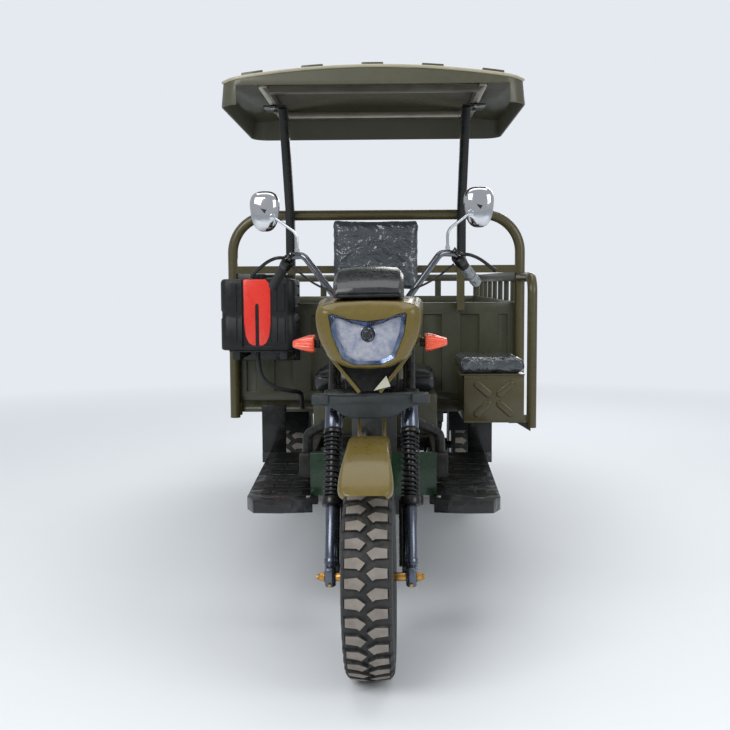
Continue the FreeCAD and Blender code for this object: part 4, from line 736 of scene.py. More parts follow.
def makeForkCover():
    y0 = axleStraight.y + coverShape["near"]
    top, half = coverShape["top"], coverShape["half"]
    side = [(0.000, 0.7185), (0.040, 0.7185), (0.062, 0.7215), (0.084, 0.730), (0.100, 0.742), (0.116, 0.7515),
            (0.130, 0.7555), (half - 0.004, 0.758), (half, 0.764), (half, 0.784), (half - 0.005, 0.793),
            (half - 0.016, top - 0.001), (0.120, top), (0.060, top - 0.0008), (0.0, top - 0.0008)]
    outline = side + [(-x, z) for x, z in reversed(side[1:-1])]
    face = meshOf("cover", [(x, y0 + 0.006 + 0.020 * (x / half) ** 4, z) for x, z in outline],
                  faces=[range(len(outline))])
    bpy.ops.object.mode_set(mode="EDIT")
    bpy.ops.mesh.select_all(action="SELECT")
    bpy.ops.mesh.inset(thickness=0.007, depth=0.0)
    bpy.ops.transform.translate(value=(0, -0.0055, 0))
    bpy.ops.object.mode_set(mode="OBJECT")
    modify(face, "SOLIDIFY", thickness=0.024, offset=-1.0)
    closeMesh(face)
    modify(face, "BEVEL", width=0.002, segments=2, limit_method="ANGLE", angle_limit=math.radians(40))
    smooth(face, 45)
    panels, reflectors = [], []
    for s in (-1, 1):
        low, high = sorted((s * 0.124, s * (half + 0.001)))
        panel = block((low, y0 + 0.001, 0.7605), (high, y0 + 0.048, 0.7925), 0.006, 3)
        panels.append(smooth(panel))
        low, high = sorted((s * (half - 0.006), s * (half + 0.0018)))
        reflectors.append(smooth(block((low, y0 + 0.012, 0.764), (high, y0 + 0.040, 0.789), 0.004, 3)))
    lugs = []
    for x in (-0.060, 0.060):
        lug = block((x - 0.015, y0 + 0.020, 0.735), (x + 0.015, y0 + 0.052, 0.748), 0.002)
        lugs.append(lug)
    cover = join([face] + panels + lugs)
    settle(cover, "fork_cover_shell", "steering", finishes["greyPlastic"], ["fork_cover"], True)
    settle(join(reflectors), "cover_reflectors", "steering", finishes["redLens"], (), True)


makeSprings()
makeFender()
makeForkCover()
print("fork dressed")


# fork legs: lower tubes, seals, axle blocks, spacers and nuts

def makeForkLegs():
    silver, black, brass = [], [], []
    axle = axleStraight
    for side in (-1, 1):
        x = side * legSpacing / 2
        silver.append(smooth(barrel(legPoint(x, 0.012), legPoint(x, 0.205), 0.0188, 40, 0.003)))
        silver.append(smooth(barrel(legPoint(x, 0.030), legPoint(x, 0.046), 0.0205, 40, 0.002)))
        black.append(smooth(barrel(legPoint(x, 0.202), legPoint(x, 0.2275), 0.0308, 40, 0.003)))
        black.append(smooth(barrel(legPoint(x, 0.2275), legPoint(x, 0.4255), 0.0188, 32)))
        black.append(smooth(barrel(legPoint(x, 0.4255), legPoint(x, 0.440), 0.0298, 40, 0.002)))
        silver.append(smooth(barrel(legPoint(x, 0.440), legPoint(x, 0.531), 0.0270, 40, 0.004)))
        inner = x - side * 0.026
        black.append(smooth(barrel(legPoint(inner, 0.025, -0.012), legPoint(inner, 0.224, -0.012), 0.0088, 20)))
        low, high = sorted((x, inner))
        black.append(block((low, axle.y + 0.006, axle.z + 0.008), (high, axle.y + 0.042, axle.z + 0.028), 0.003))
        lug = block((x - 0.0148, axle.y - 0.022, axle.z - 0.026), (x + 0.0148, axle.y + 0.034, axle.z + 0.030), 0.008, 3)
        silver.append(smooth(lug))
        slit = block((x - 0.0152, axle.y + 0.002, axle.z - 0.0265), (x + 0.0152, axle.y + 0.005, axle.z - 0.010), 0.0005)
        black.append(slit)
        pinch = Vector((x, axle.y - 0.022, axle.z - 0.018))
        brass.append(barrel(pinch + Vector((0, 0.001, 0)), pinch - Vector((0, 0.006, 0)), 0.0055, 6, 0.0008))
        start = axle + Vector((side * 0.0625, 0, 0))
        brass.append(smooth(barrel(start, axle + Vector((side * 0.100, 0, 0)), 0.0125, 32, 0.001)))
        out = axle + Vector((side * (legSpacing / 2 + 0.0152), 0, 0))
        washer = barrel(out, out + Vector((side * 0.003, 0, 0)), 0.0150, 32, 0.0006)
        nut = barrel(out + Vector((side * 0.003, 0, 0)), out + Vector((side * 0.015, 0, 0)), 0.0128, 6, 0.0012)
        end = barrel(out + Vector((side * 0.014, 0, 0)), out + Vector((side * 0.0235, 0, 0)), 0.0076, 24, 0.001)
        brass += [smooth(washer), nut, smooth(end)]
    brass.append(smooth(barrel(axle - Vector((0.13, 0, 0)), axle + Vector((0.13, 0, 0)), 0.0076, 24)))
    settle(join(silver), "fork_tubes", "steering", finishes["tubeSilver"], ["fork_legs"], True)
    settle(join(black), "fork_seals", "steering", finishes["blackGloss"], (), True)
    settle(join(brass), "axle_hardware", "steering", finishes["brassNut"], (), True)


# lamp mask, cowl and winkers

maskShape = {"setback": 0.070, "depth": 0.210, "lampZ": 0.965, "half": 0.162, "round": 0.026, "wall": 0.003,
             "count": 120}
lensOutline = [(-113, 1040), (-60, 1018), (0, 1010), (60, 1018), (113, 1040), (104, 975), (76, 905), (38, 886),
               (-38, 886), (-76, 905), (-104, 975)]
maskFrontOutline = [(-150, 1056), (-80, 1066), (0, 1069), (80, 1066), (150, 1056), (152, 1010), (142, 960),
                    (112, 902), (62, 877), (0, 872), (-62, 877), (-112, 902), (-142, 960), (-152, 1010)]
maskBackOutline = [(-162, 1077), (-80, 1078), (0, 1078), (80, 1078), (162, 1077), (160, 1010), (152, 958),
                   (124, 903), (70, 882), (0, 877), (-70, 882), (-124, 903), (-152, 958), (-160, 1010)]


def reachOf(outline, angle):
    # distance from the lamp's middle to the outline, in metres
    direction = Vector((math.cos(angle), math.sin(angle)))
    best = 0.0
    for a, b in zip(outline, outline[1:] + outline[:1]):
        a = Vector((a[0], a[1] - 965)) / 1000
        b = Vector((b[0], b[1] - 965)) / 1000
        edge = b - a
        cross = direction.x * edge.y - direction.y * edge.x
        if abs(cross) < 1e-12:
            continue
        t = (a.x * edge.y - a.y * edge.x) / cross
        u = (a.x * direction.y - a.y * direction.x) / cross
        if t > 0 and -1e-6 <= u <= 1 + 1e-6:
            best = max(best, t)
    return best


def reachesOf(outline, easing):
    count = maskShape["count"]
    values = [reachOf(outline, math.tau * k / count) for k in range(count)]
    for _ in range(easing):
        values = [(values[k - 1] + 2 * values[k] + values[(k + 1) % count]) / 4 for k in range(count)]
    return values


def maskRing(reaches, y):
    count = maskShape["count"]
    return [Vector((r * math.cos(math.tau * k / count), y, maskShape["lampZ"] + r * math.sin(math.tau * k / count)))
            for k, r in enumerate(reaches)]


def between(a, b, share):
    return [p + (q - p) * share for p, q in zip(a, b)]


def makeMask():
    y0 = axleStraight.y + maskShape["setback"]
    lens = reachesOf(lensOutline, 1)
    front = reachesOf(maskFrontOutline, 4)
    back = reachesOf(maskBackOutline, 4)
    rings = [maskRing([r + 0.0005 for r in lens], y0 + 0.016), maskRing([r + 0.0005 for r in lens], y0 + 0.003),
             maskRing([r + 0.0022 for r in lens], y0 + 0.0005)]
    for share in (0.12, 0.3, 0.5, 0.7, 0.85, 0.94, 1.0):
        rings.append(maskRing(between([r + 0.0022 for r in lens], front, share),
                              y0 + maskShape["round"] * share ** 2.6))
    for share in (0.06, 0.15, 0.35, 0.6, 0.85, 1.0):
        rings.append(maskRing(between(front, back, share ** 0.8),
                              y0 + maskShape["round"] + (maskShape["depth"] - maskShape["round"]) * share))
    shell = loft(rings, caps=False)
    modify(shell, "SOLIDIFY", thickness=maskShape["wall"], offset=-1.0)
    smooth(shell, 50)
    ears = []
    for side in (-1, 1):
        x = side * legSpacing / 2
        along = (0.945 - legBase.z) / steerAxis.z
        ring = lathe([(-0.016, 0.0196), (0.016, 0.0196), (0.016, 0.0248), (-0.016, 0.0248), (-0.016, 0.0196)],
                     legPoint(x, along), steerAxis, 40)
        low, high = sorted((x + side * 0.0235, x + side * 0.037))
        arm = block((low, y0 + maskShape["depth"] - 0.040, 0.932), (high, legPoint(x, along).y + 0.008, 0.958), 0.003)
        ears += [smooth(ring), arm]
    settle(join([shell] + ears), "mask_shell", "steering", finishes["olivePlastic"],
           ["headlight_fairing"], True)

    # chin: two arms meeting under the mask, a web between them coloured near-black as painted shade, and the small
    # pale plate beside them
    chin = []
    chinY = y0 + 0.060
    for side in (-1, 1):
        arm = block((-0.0055, -0.004, 0), (0.0055, 0.004, 0.150), 0.002)
        lean = Matrix.Translation((side * 0.030, chinY, 0.800)) @ Matrix.Rotation(side * math.radians(38), 4, "Y")
        arm.data.transform(lean)
        chin.append(arm)
    web = meshOf("web", [(-0.034, chinY + 0.010, 0.802), (0.034, chinY + 0.010, 0.802),
                         (0.070, chinY + 0.012, 0.850), (0.096, chinY + 0.014, 0.888),
                         (-0.096, chinY + 0.014, 0.888), (-0.070, chinY + 0.012, 0.850)],
                 faces=[(0, 1, 2, 3, 4, 5)])
    modify(web, "SOLIDIFY", thickness=0.003)
    modify(closeMesh(web), "BEVEL", width=0.001, segments=2)
    settle(web, "mask_throat_shade", "steering", finishes["throatShade"], (), True)
    settle(join(chin), "mask_chin", "steering", finishes["olivePlastic"], (), True)
    plate = meshOf("plate", [(0.012, chinY - 0.012, 0.806), (0.062, chinY - 0.010, 0.818), (0.050, chinY - 0.014, 0.850)],
                   faces=[(0, 1, 2)])
    modify(plate, "SOLIDIFY", thickness=0.002)
    modify(closeMesh(plate), "BEVEL", width=0.0006, segments=1)
    settle(plate, "chin_plate", "steering", finishes["paleFilm"], (), True)


def makeLamp():
    y0 = axleStraight.y + maskShape["setback"]
    lens = reachesOf(lensOutline, 1)

    def scaledLens(share, y):
        return maskRing([r * share for r in lens], y)

    glass = loft([scaledLens(0.994, y0 + 0.0055), scaledLens(0.994, y0 - 0.001), scaledLens(0.97, y0 - 0.0055),
                  scaledLens(0.9, y0 - 0.009), scaledLens(0.7, y0 - 0.012), scaledLens(0.4, y0 - 0.0135),
                  scaledLens(0.08, y0 - 0.0138)])
    settle(smooth(glass, 60), "lamp_glass", "steering", finishes["lampGlass"], ["headlight"], True)

    rim = loft([scaledLens(0.992, y0 + 0.005), scaledLens(0.86, y0 + 0.011), scaledLens(0.85, y0 + 0.024),
                scaledLens(0.99, y0 + 0.014), scaledLens(0.992, y0 + 0.007)], caps=False)
    settle(smooth(rim, 50), "lamp_rim", "steering", finishes["lampRim"], (), True)
    rings = []
    for share, back in ((0.90, 0.015), (0.82, 0.024), (0.70, 0.034), (0.56, 0.041), (0.42, 0.046), (0.20, 0.050)):
        ring = scaledLens(share, y0 + back)
        # the flutes fan out from the bulb
        for k, p in enumerate(ring):
            p.y += 0.0110 * (share - 0.1) * abs(math.sin(k / maskShape["count"] * math.tau * 6))
        rings.append(ring)
    bowl = loft(rings)
    settle(smooth(bowl, 70), "lamp_reflector", "steering", finishes["reflector"], (), True)
    hub = Vector((0, y0 + 0.012, 0.973))
    cap = lathe([(0, 0), (-0.003, 0.006), (-0.001, 0.0135), (0.004, 0.0165), (0.020, 0.0175), (0.060, 0.017),
                 (0.060, 0)], hub, (0, 1, 0), 40)
    settle(smooth(cap, 50), "bulb_cap", "steering", finishes["darkPlastic"], (), True)
    # a dark sheet between the lamp's two horns, over the bowl's upper edge: painted shade, streaked blue
    brow = []
    count = maskShape["count"]
    first, last = int(count * 0.05), int(count * 0.45)
    for share, back in ((0.985, 0.002), (0.90, 0.004), (0.80, 0.006), (0.68, 0.009)):
        ring = scaledLens(share, y0 + back)
        # its lower edge sags towards the bulb in the middle and runs out to the horns
        row = []
        for k in range(first, last + 1):
            across = abs(2 * (k - first) / (last - first) - 1)
            row.append(ring[k] + (scaledLens(0.985, y0 + back)[k] - ring[k]) * across ** 3)
        brow.append(row)
    shade = loft(brow, caps=False, closed=False)
    modify(shade, "SOLIDIFY", thickness=0.0012, offset=0.0)
    settle(smooth(shade, 60), "lamp_brow_shade", "steering", finishes["browShadeGlass"], (), True)
    bezel = lathe([(0.004, 0.0175), (0.001, 0.021), (0.005, 0.0245), (0.012, 0.0255), (0.062, 0.0235), (0.062, 0.0175),
                   (0.004, 0.0175)], hub, (0, 1, 0), 40)
    settle(smooth(bezel, 50), "bulb_ring", "steering", finishes["chromePlate"], (), True)


cowlRows = [(0.006, 1.0835, 0.090), (0.001, 1.098, 0.095), (0.004, 1.108, 0.098), (0.045, 1.134, 0.105),
            (0.100, 1.156, 0.104), (0.145, 1.1695, 0.094), (0.170, 1.171, 0.088), (0.200, 1.162, 0.084),
            (0.223, 1.140, 0.082)]


def makeCowl():
    y0 = axleStraight.y + maskShape["setback"] + 0.040
    low = 1.0786
    rings = []
    for back, top, half in cowlRows:
        across = [(-1.0, -0.34), (-0.99, -0.12), (-0.90, -0.035), (-0.46, -0.004), (-0.43, 0.0), (0.43, 0.0),
                  (0.46, -0.004), (0.90, -0.035), (0.99, -0.12), (1.0, -0.34)]
        ring = [Vector((half * x, y0 + back + 0.006 * abs(x) ** 3, max(low + 0.002, top + 0.09 * fall)))
                for x, fall in across]
        ring += [Vector((half, y0 + back + 0.006, low)), Vector((-half, y0 + back + 0.006, low))]
        rings.append(ring)
    hood = loft(rings)
    modify(hood, "BEVEL", width=0.0025, segments=2, limit_method="ANGLE", angle_limit=math.radians(24))
    settle(smooth(hood, 32), "cowl_hood", "steering", finishes["cowlPlastic"], ["instrument_cowl"],
           True)
    lip = tube([(-0.098, y0 + 0.030, 1.0815), (-0.090, y0 + 0.004, 1.0835), (-0.060, y0 - 0.001, 1.0835),
                (0.060, y0 - 0.001, 1.0835), (0.090, y0 + 0.004, 1.0835), (0.098, y0 + 0.030, 1.0815)], 0.0048, 0.012)
    band = tube([(-0.086, y0 + 0.192, 1.160), (-0.088, y0 + 0.168, 1.1665), (0.088, y0 + 0.168, 1.1665),
                 (0.086, y0 + 0.192, 1.160)], 0.0052, 0.012)
    settle(join([smooth(lip, 60), smooth(band, 60)]), "cowl_lip", "steering",
           finishes["blackPlastic"], (), True)


winkerShape = {"root": 0.165, "length": 0.066, "setback": 0.200, "z": 0.942, "lobes": 16, "count": 96}


def makeWinkers():
    lenses, bases = [], []
    y = axleStraight.y + winkerShape["setback"]
    count = winkerShape["count"]
    for side in (-1, 1):
        rings = []
        for along, deep, tall in ((0.0, 0.036, 0.0235), (0.05, 0.039, 0.0255), (0.3, 0.037, 0.0245), (0.6, 0.031, 0.0185),
                                  (0.88, 0.025, 0.0125), (0.97, 0.023, 0.0105), (1.0, 0.019, 0.0075)):
            ring = []
            for k in range(count):
                a = math.tau * k / count
                flute = 1 + 0.030 * math.cos(a * winkerShape["lobes"])
                c, d = math.cos(a), math.sin(a)
                squareness = (abs(c) ** 3 + abs(d) ** 3) ** (-1 / 3)
                ring.append(Vector((side * (winkerShape["root"] + along * winkerShape["length"]),
                                    y + deep * c * squareness * flute, winkerShape["z"] + tall * d * squareness * flute)))
            rings.append(ring)
        lenses.append(smooth(loft(rings), 45))
        foot = Vector((side * 0.150, y, winkerShape["z"]))
        bases.append(smooth(barrel(foot, foot + Vector((side * 0.0155, 0, 0)), 0.0135, 28, 0.001)))
    settle(join(lenses), "winker_lenses", "steering", finishes["orangeLens"], ["turn_signals"], True)
    settle(join(bases), "winker_stalks", "steering", finishes["blackPlastic"], (), True)


makeForkLegs()
makeMask()
makeLamp()
makeCowl()
makeWinkers()
print("mask, lamp, cowl and winkers made")


# handlebar fittings

barRise = legPoint(0, 0.800 + 0.062 - 0.011, -0.020)
barShape = {"radius": 0.011, "perchBack": 0.141, "gripRadius": 0.0166}


def barPoints(side):
    x, y, z = barRise
    return [Vector((0, y, z)), Vector((side * 0.088, y, z)), Vector((side * 0.222, y + 0.030, 1.214)),
            Vector((side * 0.268, y + 0.060, 1.212)), Vector((side * 0.345, y + 0.190, 1.118))]


def makeGrips():
    made, film = [], []
    for side in (-1, 1):
        inner, end = barPoints(side)[3:5]
        along = (end - inner).normalized()
        profile = [(-0.118, 0.0115), (-0.118, 0.0185), (-0.113, 0.0188), (-0.110, 0.0160)]
        ribs = 15
        for k in range(ribs):
            a = -0.107 + 0.107 * k / ribs
            profile += [(a, 0.0150), (a + 0.0015, 0.0168), (a + 0.0045, 0.0168), (a + 0.0058, 0.0150)]
        profile += [(0.001, 0.0165), (0.0055, 0.0160), (0.006, 0.0)]
        made.append(smooth(lathe(profile, end, along, 32), 40))
        if side > 0:
            film.append(smooth(lathe([(-0.100, 0.0172), (-0.070, 0.0186), (-0.040, 0.0176), (-0.012, 0.0188),
                                      (0.004, 0.0175), (0.008, 0.010), (0.008, 0.0)], end, along, 32), 40))
    settle(join(made), "grip_sleeves", "steering", finishes["gripRubber"], ["grips"], True)
    settle(join(film), "grip_film", "steering", finishes["clearFilm"], (), True)


def makeLevers():
    black, steel, red = [], [], []
    for side in (-1, 1):
        inner, end = barPoints(side)[3:5]
        along = (end - inner).normalized()
        middle = end - along * barShape["perchBack"]
        forward = Vector((0, -1, 0.35)).normalized()
        upward = along.cross(forward) * side
        black.append(smooth(barrel(middle - along * 0.019, middle + along * 0.019, 0.0205, 32, 0.003)))
        housing = block((-0.021, -0.017, -0.024), (0.021, 0.017, 0.014), 0.005, 3)
        spin = Matrix((along, forward, along.cross(forward))).transposed().to_4x4()
        housing.data.transform(Matrix.Translation(middle - along * 0.030) @ spin)
        black.append(smooth(housing))
        root = middle + forward * 0.017
        knuckle = root + forward * 0.029
        pivot = block((-0.013, -0.012, -0.006), (0.013, 0.012, 0.006), 0.003)
        pivot.data.transform(Matrix.Translation(knuckle - forward * 0.004) @ spin)
        black.append(pivot)
        steel.append(barrel(knuckle - upward * 0.009, knuckle + upward * 0.009, 0.0045, 6, 0.0006))
        # the blade hooks out, runs along the grip and ends in a ball
        route = [root, knuckle, knuckle + Vector((side * 0.030, -0.004, 0.000)), knuckle + Vector((side * 0.062, 0.014, -0.012)),
                 knuckle + Vector((side * 0.094, 0.038, -0.034)), knuckle + Vector((side * 0.118, 0.062, -0.052))]
        blade = tube(route, 0.0056, 0.020, 20)
        black.append(smooth(blade, 60))
        tip = route[-1]
        bpy.ops.object.select_all(action="DESELECT")
        bpy.ops.mesh.primitive_uv_sphere_add(segments=20, ring_count=12, radius=0.0078, location=tip)
        ball = applyPlace(bpy.context.object)
        black.append(smooth(ball, 60))
        switch = block((-0.007, -0.004, -0.005), (0.007, 0.004, 0.005), 0.0015)
        switch.data.transform(Matrix.Translation(middle - along * 0.034 - forward * 0.018) @ spin)
        (red if side > 0 else steel).append(switch)
        for k in (-1, 1):
            screw = middle - along * 0.030 + along * 0.012 * k + forward * 0.0165
            steel.append(barrel(screw, screw + forward * 0.002, 0.003, 12))
    settle(join(black), "lever_blades", "steering", finishes["blackGloss"], ["control_levers"], True)
    settle(join(steel), "lever_screws", "steering", finishes["bareMetal"], (), True)
    settle(join(red), "switch_button", "steering", finishes["orangeLens"], (), True)


mirrorShape = {"thick": 0.034, "count": 64}


def mirrorOutline(side, grow):
    # a rounded shield, wider above, in (x, z)
    points = []
    for k in range(mirrorShape["count"]):
        a = math.tau * k / mirrorShape["count"]
        c, d = math.cos(a), math.sin(a)
        wide = 0.047 + 0.007 * d
        tall = 0.062 if d > 0 else 0.068
        squareness = (abs(c) ** 2.7 + abs(d) ** 2.7) ** (-1 / 2.7)
        points.append((side * 0.346 + side * wide * grow * c * squareness, 1.361 + tall * grow * d * squareness))
    return points


def makeMirrors():
    shells, glasses, stems, dark = [], [], [], []
    for side in (-1, 1):
        root = (barPoints(side)[2] + barPoints(side)[3]) * 0.5 + Vector((0, 0, 0.0113))
        elbow = root + Vector((0, 0, 0.062))
        neck = Vector((side * 0.318, elbow.y - 0.014, 1.352))
        y = neck.y

        def level(grow, back):
            return [Vector((x, y + back, z)) for x, z in mirrorOutline(side, grow)]

        shell = loft([level(0.94, 0.009), level(1.0, 0.0085), level(1.0, 0.002), level(0.95, -0.009),
                      level(0.80, -0.0185), level(0.55, -0.0235), level(0.2, -0.0255)])
        shells.append(smooth(shell, 50))
        glasses.append(smooth(loft([level(0.93, 0.0092), level(0.93, 0.0100)]), 30))
        stem = tube([root, elbow, neck + Vector((0, -0.016, -0.012))], 0.0048, 0.020, 16)
        stems.append(smooth(stem, 60))
        collar = barrel(root - Vector((0, 0, 0.0005)), root + Vector((0, 0, 0.012)), 0.0088, 6, 0.0008)
        boss = barrel(neck + Vector((0, -0.030, -0.014)), neck + Vector((0, -0.012, -0.012)), 0.0095, 24, 0.002)
        stems += [collar, smooth(boss)]
        # the dark panel of the shell's back, a V with its point down
        top = [(-0.030, 0.040), (0.0, 0.0445), (0.030, 0.040), (0.020, 0.014), (0.003, -0.012), (-0.016, 0.012)]
        panel = meshOf("panel", [(side * 0.346 + x, y - 0.0262 + 8.0 * (x * x + z * z) * 1.0, 1.361 + z)
                                 for x, z in top], faces=[range(len(top))])
        modify(panel, "SOLIDIFY", thickness=0.0025)
        modify(closeMesh(panel), "BEVEL", width=0.0008, segments=2)
        dark.append(smooth(panel))
    settle(join(shells), "mirror_shells", "steering", finishes["chromePlate"], ["mirrors"], True)
    settle(join(glasses), "mirror_glasses", "steering", finishes["mirrorGlass"], (), True)
    settle(join(stems), "mirror_stems", "steering", finishes["chromePlate"], (), True)
    settle(join(dark), "mirror_panels", "steering", finishes["blackPlastic"], (), True)


cablePoints = {"start": 0.0223, "radius": 0.0035}


def makeControlCables():
    # the same points as the routed cables, each side
    cables = []
    for side in (-1, 1):
        inner, end = barPoints(side)[3:5]
        along = (end - inner).normalized()
        middle = end - along * barShape["perchBack"]
        out = along.cross(Vector((0, 1, 0))).normalized() * -side
        start = middle + out * cablePoints["start"]
        route = [start, start + out * 0.040, Vector((side * 0.198, middle.y - 0.084, middle.z - 0.064)),
                 Vector((side * 0.158, middle.y - 0.130, middle.z - 0.084)), legPoint(side * 0.120, 0.880, 0.060),
                 legPoint(side * 0.092, 0.815, 0.052), legPoint(side * 0.084, 0.740, 0.040),
                 legPoint(side * 0.080, 0.660, 0.014), legPoint(side * 0.080, 0.604, 0.0),
                 legPoint(side * 0.080, 0.5593, 0.0)]
        cables.append(held(route, cablePoints["radius"]))
    settle(join(cables), "control_cable_pair", "steering", finishes["blackPlastic"],
           ["control_cables"], True)


def held(route, radius):
    # a held cable or hose: one smooth curve through its own points
    clearSelection()
    bpy.ops.curve.primitive_nurbs_path_add()
    curve = bpy.context.object
    shape = curve.data
    shape.splines.remove(shape.splines[0])
    spline = shape.splines.new("NURBS")
    spline.points.add(len(route) - 1)
    for point, place in zip(spline.points, route):
        point.co = (*place, 1)
    spline.order_u = 3
    spline.use_endpoint_u = True
    spline.resolution_u = 10
    shape.dimensions = "3D"
    shape.bevel_depth = radius
    shape.bevel_resolution = 4
    shape.use_fill_caps = True
    bpy.ops.object.convert(target="MESH")
    return smooth(closeMesh(bpy.context.object, 0.000002), 60)


makeGrips()
makeLevers()
makeMirrors()
makeControlCables()
print("handlebar fitted out")


# cushions: pumped up as cloth from a slightly smaller form, then seamed and wrapped

cushionShape = {"voxel": 0.0055, "frames": 20, "pressure": 4.0, "piping": 0.0028}


def puffed(low, high, corner, cap, shrink):
    # a rounded slab that swells out to the given box, no further than cap
    low, high = Vector(low), Vector(high)
    inset = Vector((shrink, shrink, shrink))
    pad = block(low + inset, high - inset, corner, 5)
    modify(pad, "REMESH", mode="VOXEL", voxel_size=cushionShape["voxel"])
    start = [v.co.copy() for v in pad.data.vertices]
    cloth = pad.modifiers.new("cloth", "CLOTH")
    cloth.settings.use_pressure = True
    cloth.settings.uniform_pressure_force = cushionShape["pressure"]
    cloth.settings.effector_weights.gravity = 0.0
    cloth.settings.tension_stiffness = 12
    cloth.settings.bending_stiffness = 0.4
    cloth.point_cache.frame_end = cushionShape["frames"]
    for number in range(1, cushionShape["frames"] + 1):
        bpy.context.scene.frame_set(number)
    pick(pad)
    bpy.ops.object.modifier_apply(modifier="cloth")
    bpy.context.scene.frame_set(1)
    for v, was in zip(pad.data.vertices, start):
        step = v.co - was
        if step.length > cap:
            v.co = was + step.normalized() * cap
    modify(pad, "SMOOTH", factor=0.5, iterations=4)
    modify(pad, "SUBSURF", levels=1, render_levels=1)
    # the finished pad fills its box again
    near = [min(v.co[k] for v in pad.data.vertices) for k in range(3)]
    far = [max(v.co[k] for v in pad.data.vertices) for k in range(3)]
    for v in pad.data.vertices:
        for k in range(3):
            v.co[k] = low[k] + (v.co[k] - near[k]) * (high[k] - low[k]) / (far[k] - near[k])
    return smooth(pad, 80)


def creased(pad, depth, seed, slant, stretch):
    # the film's folds, pressed into the mesh itself along a slant
    turn = Matrix.Rotation(slant, 3, "Y")
    pad.data.update()
    normals = [v.normal.copy() for v in pad.data.vertices]
    for v, normal in zip(pad.data.vertices, normals):
        q = turn @ v.co
        q = Vector((q.x * stretch[0], q.y * stretch[1], q.z * stretch[2])) + Vector((seed, 0, 0))
        ridge = 1 - abs(noise.noise(q)) * 2.4
        fine = 1 - abs(noise.noise(q * 2.3 + Vector((7, 3, 1)))) * 2.4
        v.co += normal * depth * (max(ridge, 0.0) ** 3 + 0.5 * max(fine, 0.0) ** 3)
    return pad


def pipedEdge(low, high, z, corner, inset):
    # the welt of the cover, a closed loop round the pad at one height
    x0, y0, x1, y1 = low[0] + inset, low[1] + inset, high[0] - inset, high[1] - inset
    points = []
    for cx, cy, start in ((x1 - corner, y1 - corner, 0), (x0 + corner, y1 - corner, 90),
                          (x0 + corner, y0 + corner, 180), (x1 - corner, y0 + corner, 270)):
        for k in range(7):
            angle = math.radians(start + 15 * k)
            points.append((cx + corner * math.cos(angle), cy + corner * math.sin(angle), z))
    return smooth(tube(points, cushionShape["piping"], closed=True, caps=False, sides=12), 60)


def makeSideCushion():
    low, high = (Vector(c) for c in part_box("side_seat_cushion"))
    pad = puffed(low + Vector((0.002, 0.002, 0.0)), high - Vector((0.002, 0.002, 0.0)), 0.016, 0.010, 0.004)
    creased(pad, 0.0022, 3.0, math.radians(16), (7, 26, 44))
    for v in pad.data.vertices:
        v.co = Vector([min(max(v.co[k], low[k]), high[k]) for k in range(3)])
    settle(pad, "side_seat_pad", "side_seat", finishes["wrappedVinyl"], ["side_seat_cushion"])


def makeDriverSeat():
    low, high = (Vector(c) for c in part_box("driver_seat"))
    pad = puffed(low + Vector((0.004, 0.004, 0.0)), high - Vector((0.004, 0.004, 0.0)), 0.022, 0.014, 0.006)
    middle = (low + high) / 2
    for v in pad.data.vertices:
        # three channels sewn across the top, with the fill crowned between them
        if v.co.z > middle.z:
            for k in range(3):
                y = low.y + (high.y - low.y) * (0.30 + 0.2 * k)
                inside = max(0.0, 1 - (abs(v.co.x - middle.x) / (0.40 * (high.x - low.x))) ** 6)
                v.co.z -= 0.007 * math.exp(-((v.co.y - y) / 0.006) ** 2) * inside
    settle(pad, "driver_seat_pad", "body", finishes["blackVinyl"], ["driver_seat"])
    welt = pipedEdge(low, high, high.z - 0.024, 0.030, 0.0052)
    settle(welt, "driver_seat_welt", "body", finishes["gripRubber"])


def makeBackrest():
    low, high = (Vector(c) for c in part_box("backrest"))
    pad = puffed(low + Vector((0.002, 0.002, 0.002)), high - Vector((0.002, 0.001, 0.002)), 0.016, 0.010, 0.005)
    middle = (low + high) / 2
    for v in pad.data.vertices:
        # the film is gathered at the right side, so its folds fan out from there
        if v.co.y < middle.y:
            x, z = (v.co.x - high.x) / 0.34, (v.co.z - middle.z - 0.06) / 0.28
            fan = math.atan2(z, -x + 0.05)
            away = min(1.0, math.hypot(x, z) * 1.4)
            v.co.y -= 0.0030 * max(0.0, math.sin(fan * 17 + 2.2 * noise.noise(v.co * 9))) ** 2 * away
    creased(pad, 0.0018, 11.0, math.radians(-32), (6, 20, 30))
    for v in pad.data.vertices:
        v.co = Vector([min(max(v.co[k], low[k]), high[k]) for k in range(3)])
    settle(pad, "backrest_pad", "body", finishes["wrappedVinyl"], ["backrest"])


makeSideCushion()
makeDriverSeat()
makeBackrest()
print("cushions filled")


# canister with its red insert, cap, grooves and hose

canisterShape = {"round": 0.032, "ribs": 7, "ribDeep": 0.004, "notch": 0.012, "slotHalf": 0.0068}


def roundedSection(x0, x1, y0, y1, corner, z, steps=7):
    points = []
    for cx, cy, start in ((x1 - corner, y1 - corner, 0), (x0 + corner, y1 - corner, 90),
                          (x0 + corner, y0 + corner, 180), (x1 - corner, y0 + corner, 270)):
        for k in range(steps):
            angle = math.radians(start + 90 * k / (steps - 1))
            points.append(Vector((cx + corner * math.cos(angle), cy + corner * math.sin(angle), z)))
    return points


def canisterSection(x0, x1, y0, y1, inset, z):
    # the plan of the can at one height
    corner = canisterShape["round"]
    ring = roundedSection(x0 + inset, x1 - inset, y0 + inset, y1 - inset, max(corner - inset, 0.006), z)
    return ring


